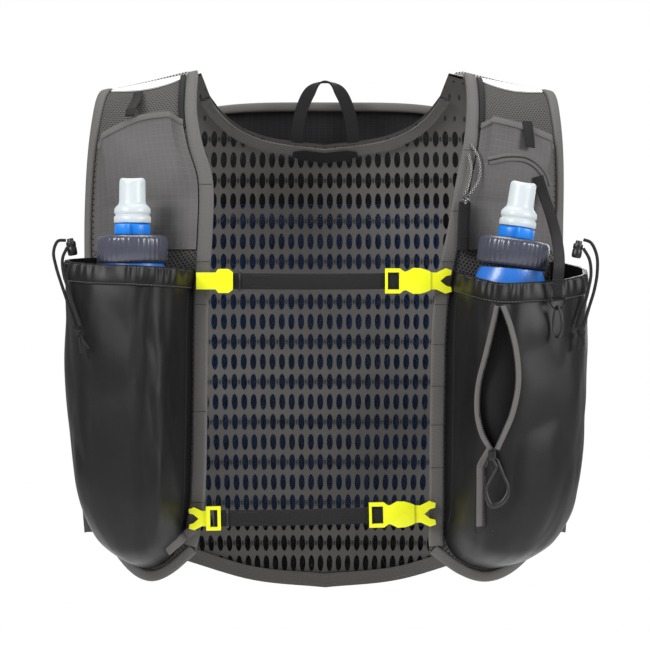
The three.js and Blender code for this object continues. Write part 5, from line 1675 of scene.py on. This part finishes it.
    def corner_tab(self) -> None:
        """Strap end sewn across the pocket's lower inner corner."""
        centres, normals = [], []
        for k in range(9):
            p = self.front_y(mix(-97.5, -118.5, k / 8), mix(-349, -366, k / 8), 1.2)
            centres.append(p)
            normals.append(Vector((0.15, -1, -0.15)).normalized())
        obj = BUILD.band("corner_strap", centres, normals, 7.6, 1.2, TAPE)
        BUILD.finish(obj)


@dataclass
class ZipFastener:
    """Zip of the right bottle pocket: lips, closed run, slider and pull."""

    pocket: BottlePocket
    run_x: float = 116.5
    run_end: float = -345.0
    tape: float = 4.2

    def build(self) -> None:
        """Builds the zip."""
        foot = SLIT_TOP - SLIT_LENGTH
        for word, column in (("inner", 1), ("outer", 2)):
            rows = []
            for i in range(49):
                down = i / 48
                grow = (-1.6 if column == 1 else 1.6)
                rows.append(self.pocket.front_y(look_up(SLIT, column, down) + grow,
                                                SLIT_TOP - down * SLIT_LENGTH,
                                                0.3))
            normals = [Vector((0.25, -1, 0)).normalized()] * len(rows)
            lip = BUILD.band(f"zip_lip_{word}", rows, normals, self.tape, 1.0, TAPE)
            BUILD.finish(lip, "vest", "zip_tape")
            inward = 1.9 if column == 1 else -1.9
            teeth = [p + Vector((inward, -0.7, 0)) for p in rows[1:-1]]
            BUILD_SEWING.sew(f"zip_teeth_{word}", [teeth], BLACK_PLASTIC, 1.5, 0.9, 0.8)
        rows, wide = [], []
        for i in range(41):
            z = mix(foot + 1, self.run_end, i / 40)
            x = mix(123, self.run_x, min(1.0, i / 10))
            rows.append(self.pocket.front_y(x, z, 0.3))
            wide.append(mix(8.0, 10.5, min(1.0, i / 8)))
        run = BUILD.band("zip_closed_run", rows, [Vector((0.1, -1, 0)).normalized()] * 41, 10.5, 1.0, TAPE,
                         widths=wide)
        BUILD.finish(run)
        BUILD_SEWING.sew("zip_closed_teeth", [[p + Vector((0, -1.2, 0)) for p in rows]], BLACK_PLASTIC, 1.5,
                         0.9,
                         1.2)
        for shift in (-4.1, 4.1):
            self.pocket.light_lines.append([p + Vector((shift, -1.1, 0)) for p in rows[6:]])
        box = [self.pocket.front_y(self.run_x + dx, z, 0.6) for dx, z in
               ((-6, foot - 16), (-6.5, self.run_end - 6), (6.5, self.run_end - 6), (6.5, foot - 14))]
        self.pocket.dark_lines.append([box[0].lerp(box[1], k / 30) for k in range(31)]
                                      + [box[1].lerp(box[2], k / 8) for k in range(9)]
                                      + [box[2].lerp(box[3], k / 30) for k in range(31)])
        self.pull(foot)

    def pull(self, foot: float) -> None:
        """Slider and its looped pull."""
        lo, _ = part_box("zip_pull")
        y = lo[1] / MM + 4.0
        x, z = 122.5, foot - 5
        slider = BUILD.rings("zip_slider", [
            [Vector((x + sx * w, y + 1.2 + dy, z + sz * h)) for sx,
             sz in ((-1, -1), (1, -1), (1, 1), (-1, 1))]
            for dy, w, h in ((3.4, 2.6, 3.8), (1.6, 2.9, 4.1), (-0.6, 2.4, 3.4), (-1.2, 1.4, 2.2))],
            BLACK_PLASTIC, sharp=30)
        BUILD.finish(slider, "vest", "zip_pull")
        rows = [(122.8, -2, -4.2, 0.9), (125.4, -8, -4.6, 1.4), (122.5, -14, -4.8, 1.0),
                (118.2, -23, -5, 1.1),
                (118.2, -29, -5.2, 1.7), (122, -36, -5.4, 2.1), (128.5, -34, -5.4, 2.1),
                (133, -28, -5.2, 1.9),
                (133.6, -22, -5, 1.3), (131, -15, -4.8, 1.0), (128, -8, -4.6, 1.3), (125.4, -2, -4.2, 0.9)]
        base = y + 3.4
        path = smooth_path([(px, base + py, z + pz) for px, pz, py, _ in rows], 6, closed=True)
        sizes = [r for *_, r in rows]
        radii = [mix(sizes[i // 6], sizes[(i // 6 + 1) % len(sizes)], (i % 6) / 6) for i in range(len(path))]
        loop = BUILD.tube("zip_pull_loop", path, radii, BLACK_PLASTIC, 12, closed=True)
        BUILD.finish(loop)


# Flasks

@dataclass
class Flask:
    """Soft flask with its ribbed cap, lever collar and bite valve."""

    sign: int
    x: float
    y: float
    cap_top: float
    lean: float = 0.0
    length: float = 192.0
    width: float = 64.0
    depth: float = 48.0
    cap_diameter: float = 54.0
    cap_height: float = 21.0
    lever_diameter: float = 27.0
    lever_height: float = 9.0
    valve_diameter: float = 19.5
    valve_height: float = 34.0

    def build(self) -> None:
        """Builds the flask."""
        word = side_word(self.sign)
        self.body(word)
        self.cap(word)
        self.lever(word)
        self.valve(word)

    @property
    def neck(self) -> float:
        """Height of the neck below the cap."""
        return self.cap_top - self.cap_height - 0.3

    def body(self, word: str) -> None:
        """Film body, bent towards its neck."""
        form = [(0, 0.3), (0.025, 0.62), (0.08, 0.82), (0.17, 0.94), (0.32, 1), (0.7, 1), (0.88, 0.94),
                (0.96, 0.84),
                (1, 0.74)]
        bend = math.radians(self.lean)
        yaw = self.sign * math.radians(17)
        rings = []
        for k in range(41):
            level = k / 40
            size = look_up(form, 1, level)
            tilt, shift = bend * level, -0.5 * self.length * math.tan(bend) * (1 - level ** 2)
            round_ = max(0.0, (level - 0.8) / 0.2) ** 2
            ring = []
            for i in range(48):
                turn = 2 * math.pi * i / 48
                across = self.width / 2 * size * math.cos(turn)
                deep = mix(self.depth, self.width, round_) / 2 * size * math.sin(turn)
                px = across * math.cos(yaw) - deep * math.sin(yaw)
                py = across * math.sin(yaw) + deep * math.cos(yaw)
                crease = 1 + 0.012 * noise.noise(Vector((px, py, level * 190)) / 14) - 0.01
                ring.append(Vector((self.x + shift + px * crease * math.cos(tilt), self.y + py * crease,
                                    self.neck - self.length * (1 - level) - px * math.sin(tilt))))
            rings.append(ring)
        obj = BUILD.rings(f"{word}_flask_body", rings, FILM)
        BUILD.finish(obj, "vest", f"{word}_flask")

    def placed(self, p: Vector) -> Vector:
        """Point of the cap group in the vest's frame."""
        nod = math.radians(3.5 if self.lean > 0 else 0.0)
        turn = math.radians(self.lean) + nod
        base = Vector((self.x, self.y, self.neck + self.cap_diameter / 2 * 0.92 * math.sin(nod)))
        return base + Vector((p.x * math.cos(turn) + p.z * math.sin(turn), p.y,
                              -p.x * math.sin(turn) + p.z * math.cos(turn)))

    def cap(self, word: str) -> None:
        """Ribbed cap with a rounded shoulder."""
        ribs, sides = 36, 216
        profile = [(0.86, 0.0, 0), (0.93, 0.02, 0.3), (0.96, 0.07, 1), (0.985, 0.12, 1), (0.985, 0.8, 1),
                   (0.975, 0.86, 0.8), (0.95, 0.92, 0.15), (0.9, 0.97, 0), (0.84, 1.0, 0), (0.62, 1.0, 0),
                   (0.6, 0.99, 0)]
        rings = []
        for size, level, cut in profile:
            ring = []
            for i in range(sides):
                turn = 2 * math.pi * i / sides
                groove = 0.55 * (0.5 - 0.5 * math.cos(ribs * turn)) ** 3 * cut
                radius = self.cap_diameter / 2 * size - groove
                ring.append(self.placed(Vector((radius * math.cos(turn), radius * math.sin(turn),
                                                0.3 + self.cap_height * level))))
            rings.append(ring)
        obj = BUILD.rings(f"{word}_cap_piece", rings, CAP, sharp=50)
        BUILD.finish(obj, "vest", f"{word}_cap")

    def lever(self, word: str) -> None:
        """Lever collar with its lug."""
        base = self.cap_height + 0.6
        radius = self.lever_diameter / 2
        lug_turn = -math.pi / 2 + (-0.45 if self.sign < 0 else 0.35)
        rings = []
        for size, level in ((0.9, 0.0), (0.985, 0.3), (1.0, 1.0), (1.0, self.lever_height - 2.6),
                            (0.985, self.lever_height - 1.6), (0.93, self.lever_height - 0.75),
                            (0.86, self.lever_height - 0.6)):
            ring = []
            for i in range(120):
                turn = 2 * math.pi * i / 120
                off = math.atan2(math.sin(turn - lug_turn), math.cos(turn - lug_turn))
                lug = 4.6 * max(0.0, 1 - (abs(off) / 0.44) ** 6) * (1 if level < self.lever_height - 1.2 else 0.4)
                r = radius * size + lug
                ring.append(self.placed(Vector((r * math.cos(turn), r * math.sin(turn), base + level))))
            rings.append(ring)
        obj = BUILD.rings(f"{word}_lever_piece", rings, LEVER, sharp=45)
        BUILD.finish(obj, f"{word}_valve_body", f"{word}_lever")

    def valve(self, word: str) -> None:
        """Bite valve with a flared skirt, a groove and a waved upper edge."""
        base = self.cap_height + 0.6 + self.lever_height - 0.3
        radius, narrow, high = self.lever_diameter / 2, self.valve_diameter / 2, self.valve_height
        profile = [(radius - 1.2, 0.0), (radius + 0.1, 0.4), (radius + 0.4, 1.2), (radius + 0.4, 4.2),
                   (radius - 0.1, 5.2),
                   (radius - 0.9, 6.0), (radius - 0.9, 6.6), (radius, 7.4), (radius + 0.2, 8.4),
                   (radius - 0.1, 11.0),
                   (narrow + 1.6, 13.4), (narrow + 0.6, 14.8), (narrow + 0.2, 17), (narrow, high - 4),
                   (narrow - 0.2, high - 2), (narrow - 0.9, high - 0.7), (narrow - 2.0, high),
                   (narrow - 3.2, high - 0.8),
                   (narrow - 4.0, high - 3)]
        rings = []
        for r, z in profile:
            ring = []
            for i in range(72):
                turn = 2 * math.pi * i / 72
                wave = 0.9 * math.cos(2 * turn) * max(0.0, (z - 12) / high) ** 2
                ring.append(self.placed(Vector((r * math.cos(turn), r * math.sin(turn), base + z + wave - 0.4
                                                * (z > 14)))))
            rings.append(ring)
        obj = BUILD.rings(f"{word}_valve_piece", rings, VALVE, sharp=50)
        BUILD.finish(obj, f"{word}_valve_body", f"{word}_valve")


# Chest straps and small trims

@dataclass
class ChestStraps:
    """Two chest straps with their buckles, clip and hook."""

    width: float = 12.0
    wall: float = 1.7
    upper: tuple[float, float, float, float] = (-74.0, 55.0, -164.0, 0.0)
    lower: tuple[float, float, float, float] = (-83.0, 43.0, -340.0, 1.2)

    def build(self) -> None:
        """Builds both rows."""
        for node, bevel in (("upper_buckle", 1.2), ("lower_buckle", 1.2), ("lower_hook", 1.1),
                            ("whistle_clip", 1.5)):
            BUILD.moulded(node, YELLOW, bevel)
        for name, (start, stop, z, rise) in (("upper", self.upper), ("lower", self.lower)):
            self.strap(name, start, stop, z, rise)

    def strap(self, name: str, start: float, stop: float, z: float, rise: float) -> None:
        """One strap of webbing.

        Args:
            name: the row's name.
            start: its first end across.
            stop: its other end.
            z: its height at the middle.
            rise: its slope in degrees.
        """
        lo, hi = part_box(f"{name}_strap")
        y = (lo[1] + hi[1]) / 2 / MM
        slope = math.tan(math.radians(rise))
        centres = []
        for k in range(61):
            x = mix(start, stop, k / 60)
            sag = 0.5 * math.sin(math.pi * k / 60)
            centres.append(Vector((x, y + self.wall / 2, z + x * slope - sag)))
        obj = BUILD.band(f"{name}_webbing", centres, [Vector((0, -1, 0))] * 61, self.width, self.wall,
                         BLACK_TAPE, rounding=0.4)
        BUILD.finish(obj, "vest", f"{name}_strap")
        keeper_at = start + 10
        edge = []
        for k in range(13):
            turn = 2 * math.pi * k / 12
            edge.append(Vector((keeper_at, y - 1.6 * math.cos(turn), z + keeper_at * slope
                                + (self.width / 2 + 0.8) * math.sin(turn))))
        keeper = BUILD.tube(f"{name}_keeper", edge[:-1], [0.9] * 12, BLACK_PLASTIC, 8, closed=True)
        BUILD.finish(keeper)
        lines = [[c + Vector((0, -self.wall - 0.05, dz)) for c in centres[9:16]] for dz in (-4.2, 4.2)]
        BUILD_SEWING.sew(f"{name}_strap_stitches", lines, DARK_THREAD, 1.6, 1.2, 0.24)


CORD_ROUTES = {
    "left_drawcord_a": [(-194.6, -121.5, -133.4), (-200.5, -122.5, -134), (-203.6, -124.5, -142),
                        (-201.5, -128.5, -153), (-197, -135.5, -166), (-191, -143.5, -182),
                        (-185.6, -151, -198)],
    "left_drawcord_b": [(-193.4, -126.5, -139), (-196.4, -130, -147), (-195.5, -134, -158),
                        (-191.5, -140.5, -170), (-187, -147, -183), (-181.6, -154, -198)],
    "right_drawcord_a": [(192.6, -141, -133.4), (198, -141, -135.5), (202.4, -142, -145),
                         (202.6, -144.5, -158),
                         (200, -149.5, -171), (195.6, -156, -184), (191.4, -162.4, -197)],
    "right_drawcord_b": [(192.4, -143.5, -140), (196.6, -146, -148), (197.6, -149, -159), (195, -153.5, -172),
                         (191.4, -158.6, -184), (187.2, -164.4, -197)],
    "pull_cord_a": [(111, -92.4, -60), (115.6, -98, -68), (117.6, -102.4, -78), (116, -106, -87.5),
                    (112, -109.4, -95), (108.4, -111.4, -99.2)],
    "pull_cord_b": [(109, -97.6, -68), (110.8, -103.4, -77), (109.8, -107, -86), (107.6, -109.8, -93.5),
                    (105.2, -111.2, -99)],
}
KNOT_TAILS = {
    "left": ((-182.8, -155.2, -203), [[(-182.6, -155.4, -204), (-181.6, -156.8, -210),
                                       (-180.6, -157.6, -218)],
                                      [(-181.6, -155.6, -204), (-178.4, -157.4, -209.5),
                                       (-174.6, -158.8, -214.5)]]),
    "right": ((188.8, -166, -202), [[(188.6, -166, -203), (187.6, -167.4, -209), (186.4, -168.2, -215)],
                                    [(189.4, -166, -203), (190.4, -167.4, -208), (190.6, -168.6, -213)]]),
}


@dataclass
class Cords:
    """Drawcords with knots and locks, and the speckled cord of the shoulder."""

    thick: float = 2.4
    thin: float = 1.8
    lock_diameter: float = 7.4
    lock_length: float = 13.0
    lengths: dict[str, float] = field(default_factory=dict)

    def build(self) -> None:
        """Builds the knots, then the cords on them, then the locks."""
        ends = {"left": self.knot("left"), "right": self.knot("right"), "pull": self.pull_tab()}
        for name, rows in CORD_ROUTES.items():
            thin = name.startswith("pull")
            size = self.thin if thin else self.thick
            path = smooth_path(rows, 8)
            obj = BUILD.tube(f"{name}_line", path, [size / 2] * len(path), SPECKLED if thin else CORD, 14)
            length = sum((b - a).length for a, b in zip(path, path[1:])) * MM
            self.lengths[name] = length
            word = name.split("_")[0]
            BUILD.finish(obj, "vest", name)
        for word, centre, sign in (("left", (-190.4, -121.6, -138.4), -1),
                                   ("right", (188.2, -141.6, -140.6), 1)):
            self.lock(word, Vector(centre), sign)
        log.info("cords: %s", {k: round(v, 4) for k, v in self.lengths.items()})

    def knot(self, word: str) -> bpy.types.Object:
        """Overhand knot with two frayed tails.

        Args:
            word: the side.

        Returns:
            The knot as one piece.
        """
        middle, tails = KNOT_TAILS[word]
        centre = Vector(middle)
        loops = []
        for i in range(60):
            t = 2 * math.pi * i / 60
            loops.append(centre + Vector(((math.sin(t) + 2 * math.sin(2 * t)) * 0.72,
                                          (math.cos(t) - 2 * math.cos(2 * t)) * 0.62,
                                          -math.sin(3 * t) * 1.5)))
        knot = BUILD.tube(f"{word}_cord_knot", loops, [1.25] * 60, CORD, 10, closed=True)
        pieces = [knot]
        for k, rows in enumerate(tails):
            path = smooth_path(rows, 8)
            pieces.append(BUILD.tube(f"{word}_tail_{k}", path, [self.thin / 2] * (len(path) - 1) + [1.1],
                                     CORD, 10))
        joined = self.join(f"{word}_cord_knot", pieces)
        return BUILD.finish(joined, "vest", f"{word}_knot")

    @staticmethod
    def join(name: str, pieces: Sequence[bpy.types.Object]) -> bpy.types.Object:
        """Joins pieces into one.

        Args:
            name: name of the result.
            pieces: pieces with the same material.

        Returns:
            The first piece, now holding all.
        """
        work = bmesh.new()
        for piece in pieces:
            work.from_mesh(piece.data)
        work.to_mesh(pieces[0].data)
        work.free()
        for piece in pieces[1:]:
            bpy.data.objects.remove(piece)
        pieces[0].name = name
        return pieces[0]

    def pull_tab(self) -> bpy.types.Object:
        """Folded webbing tab that hangs on the speckled cord."""
        rows = [(105.4, -111.6, -104.5), (104.9, -112.9, -113), (104.4, -114.4, -122), (104.0, -116, -132),
                (103.8, -117.4, -141)]
        path = smooth_path(rows, 6)
        tab = BUILD.band("shoulder_pull_tab", path, [Vector((0, -1, 0.1)).normalized()] * len(path), 8.6, 2.0,
                         BLACK_TAPE, rounding=0.35)
        centre = Vector((106.4, -112.4, -103.6))
        loops = []
        for i in range(48):
            t = 2 * math.pi * i / 48
            loops.append(centre + Vector(((math.sin(t) + 2 * math.sin(2 * t)) * 0.8,
                                          (math.cos(t) - 2 * math.cos(2 * t)) * 0.6, -math.sin(3 * t) * 1.7)))
        knot = BUILD.tube("shoulder_knot", loops, [0.95] * 48, SPECKLED, 10, closed=True)
        knot.data.materials.clear()
        knot.data.materials.append(SPECKLED.material())
        BUILD.finish(knot)
        line = [Vector((mix(100.2, 108.0, k / 10), -118.2, -130.5)) for k in range(11)]
        BUILD_SEWING.sew("pull_tab_stitches", [line], DARK_THREAD, 1.4, 1.0, 0.26)
        return BUILD.finish(tab, "vest", "pull_tab")

    def lock(self, word: str, centre: Vector, sign: int) -> None:
        """Barrel lock on the corner of a bottle pocket."""
        profile = [(0.3, -0.5), (0.4, -0.49), (0.47, -0.44), (0.5, -0.36), (0.5, -0.05), (0.46, -0.02),
                   (0.46, 0.02),
                   (0.5, 0.05), (0.5, 0.24), (0.46, 0.3), (0.36, 0.33), (0.33, 0.36), (0.33, 0.46),
                   (0.28, 0.5)]
        rings = []
        lean = sign * 0.18
        for r, h in profile:
            ring = []
            for i in range(40):
                turn = 2 * math.pi * i / 40
                x, y, z = (r * self.lock_diameter * math.cos(turn), r * self.lock_diameter * math.sin(turn),
                           h * self.lock_length)
                ring.append(centre + Vector((x * math.cos(lean) + z * math.sin(lean), y,
                                             -x * math.sin(lean) + z * math.cos(lean))))
            rings.append(ring)
        obj = BUILD.rings(f"{word}_barrel_lock", rings, BLACK_PLASTIC)
        BUILD.finish(obj, "vest", f"{word}_cord_lock")


@dataclass
class SmallTrims:
    """Pull tabs of the upper pockets, key strap, ring and snap hook."""

    strap_width: float = 8.2
    key_x: float = 170.8
    key_y: float = -179.0
    key_end: float = -177.0

    def build(self) -> None:
        """Builds the trims."""
        self.tab("left", -143.5, [(-21, 4.2), (-27, 6.0), (-33, 9.6), (-38, 13.4), (-42, 16.6), (-47, 17.4)])
        self.tab("right", 149, [(-50, 15.8), (-56, 16.6), (-62, 17.0), (-68, 17.2)])
        self.key_strap()
        self.ring()
        self.hook()

    def tab(self, word: str, x: float, rows: Sequence[tuple[float, float]]) -> None:
        """Grosgrain tab at a pocket's mouth.

        Args:
            word: the side.
            x: place across.
            rows: height and lift of its places.
        """
        path = smooth_path([tuple(lifted(x, level_at(x, z), -1, lift)) for z, lift in rows], 6)
        normals = [outward(x, level_at(x, p.z), -1) for p in path]
        obj = BUILD.band(f"{word}_grosgrain_tab", path, normals, 7.8, 1.3, BLACK_TAPE)
        BUILD.finish(obj, "vest", f"{word}_pull_tab")

    def key_strap(self) -> None:
        """Webbing from the upper pocket over the rim to the ring."""
        rows = [(162, -89.4, -84), (165.5, -90.6, -96), (170, -100, -111), (173.2, -121, -128),
                (173.8, -146, -142),
                (173, -164, -150.5), (171.8, -175.4, -157), (171, self.key_y + 1.4, -166),
                (170.8, self.key_y + 1.3, self.key_end), (170.8, self.key_y + 0.9, self.key_end - 1.4),
                (170.8, self.key_y, self.key_end - 1.9)]
        path = smooth_path(rows, 7)
        normals = []
        for i, p in enumerate(path):
            along = (path[min(len(path) - 1, i + 1)] - path[max(0, i - 1)]).normalized()
            wide = (Vector((1, 0, 0)) - along * along.x).normalized()
            out = wide.cross(along)
            normals.append(out if out.y < 0 or out.z > 0.3 else -out)
        widths = [self.strap_width if i < len(path) - 22 else 7.0 for i in range(len(path))]
        obj = BUILD.band("key_webbing", path, normals, self.strap_width, 1.1, BLACK_TAPE, widths=widths)
        BUILD.finish(obj, "vest", "key_strap")
        line = [Vector((self.key_x + dx, self.key_y - 0.6, self.key_end + 10)) for dx in (-3.4, -1.7, 0, 1.7,
                                                                                          3.4)]
        BUILD_SEWING.sew("key_strap_stitches", [line, [p + Vector((0, 0.3, 3.0)) for p in line]], DARK_THREAD,
                         1.3,
                         1.0, 0.26)

    def ring(self) -> None:
        """Wire ring."""
        rows = [(-4.4, 0), (0, 0), (4.4, 0), (5.4, -1.2), (5.4, -3.4), (4.2, -6), (2.2, -7.9), (0, -8.6),
                (-2.2, -7.9),
                (-4.2, -6), (-5.4, -3.4), (-5.4, -1.2)]
        path = smooth_path([(self.key_x + x, self.key_y, self.key_end + z) for x, z in rows], 6, closed=True)
        obj = BUILD.tube("wire_ring", path, [0.75] * len(path), WIRE, 12, closed=True)
        BUILD.finish(obj, "vest", "key_ring")

    def hook(self) -> None:
        """Snap hook with its gate."""
        middle = self.key_end - 8.6 + 2.2 - 11.2
        path = []
        for k in range(64):
            turn = 2 * math.pi * k / 64
            across = 5 * math.cos(turn) * (1 - 0.12 * math.sin(turn))
            path.append(Vector((self.key_x + across * 0.6, self.key_y - across * 0.8,
                                middle + 11.2 * math.sin(turn))))
        radii = [1.2 if math.cos(2 * math.pi * k / 64) > -0.4 else 0.95 for k in range(64)]
        obj = BUILD.tube("snap_hook", path, radii, BLACK_PLASTIC, 14, closed=True)
        BUILD.finish(obj, "vest", "key_hook")


# Studio

@dataclass
class Studio:
    """Camera, floor and lights."""

    distance: float = 2.625
    level: float = -0.197
    focal: float = 3333 / 650 * 36
    floor_z: float = -0.56
    floor_radius: float = 1.35

    def build(self) -> None:
        """Builds the studio."""
        self.camera()
        self.floor()
        self.lights()

    def camera(self) -> None:
        """Camera in front of the vest, level with its middle."""
        data = bpy.data.cameras.new("view")
        data.lens, data.sensor_width = self.focal, 36.0
        data.dof.use_dof = False
        camera = bpy.data.objects.new("view", data)
        camera.location = (0.0, -self.distance, self.level)
        camera.rotation_euler = (math.pi / 2, 0.0, 0.0)
        bpy.context.scene.collection.objects.link(camera)
        bpy.context.scene.camera = camera

    def floor(self) -> None:
        """Round pale floor."""
        count = 96
        points = [(self.floor_radius * math.cos(2 * math.pi * k / count),
                   self.floor_radius * math.sin(2 * math.pi * k / count), self.floor_z) for k in range(count)]
        data = bpy.data.meshes.new("floor")
        data.from_pydata(points, [], [tuple(range(count))])
        material = bpy.data.materials.new("pale_floor")
        material.use_nodes = True
        shader = material.node_tree.nodes["Principled BSDF"]
        shader.inputs["Base Color"].default_value = (0.9, 0.9, 0.9, 1)
        shader.inputs["Roughness"].default_value = 0.8
        data.materials.append(material)
        floor = bpy.data.objects.new("floor", data)
        bpy.context.scene.collection.objects.link(floor)

    def lights(self) -> None:
        """Bright surround and three soft boxes."""
        scene = bpy.context.scene
        scene.view_settings.view_transform = "Standard"
        world = bpy.data.worlds.new("surround")
        world.use_nodes = True
        tree = world.node_tree
        wire = Wiring(tree)
        path = tree.nodes.new("ShaderNodeLightPath")
        strength = wire.maths("MULTIPLY_ADD", path.outputs["Is Camera Ray"], 0.62, 0.38)
        wire.join(strength, tree.nodes["Background"].inputs["Strength"])
        tree.nodes["Background"].inputs["Color"].default_value = (1, 1, 1, 1)
        scene.world = world
        for name, place, size, power in (("key", (-1.4, -1.5, 0.9), 0.8, 40.0),
                                         ("fill", (1.6, -1.1, 0.5), 0.7, 26.0),
                                         ("top", (0.0, 0.3, 1.5), 1.2, 26.0),
                                         ("back", (0.6, 2.0, 0.4), 1.2, 22.0)):
            data = bpy.data.lights.new(name, "AREA")
            data.shape, data.size, data.energy = "SQUARE", size, power
            light = bpy.data.objects.new(name, data)
            light.location = place
            light.rotation_euler = (Vector((0, 0, -0.2)) - Vector(place)).to_track_quat("-Z", "Y").to_euler()
            scene.collection.objects.link(light)


BUILD_SEWING = Sewing()


def main() -> None:
    """Builds the scene: camera and cords first, then each sub-assembly in order."""
    Studio().build()
    Cords().build()
    BackPanel().build()
    for sign in (-1, 1):
        Harness(sign).build()
    BottlePocket(-1).build()
    BottlePocket(1, depth=76.0, zipped=True).build()
    Flask(-1, -144.0, -133.0, -130.0).build()
    Flask(1, 139.0, -136.0, -134.0, lean=5.0).build()
    ChestStraps().build()
    SmallTrims().build()


if __name__ == "__main__":
    main()
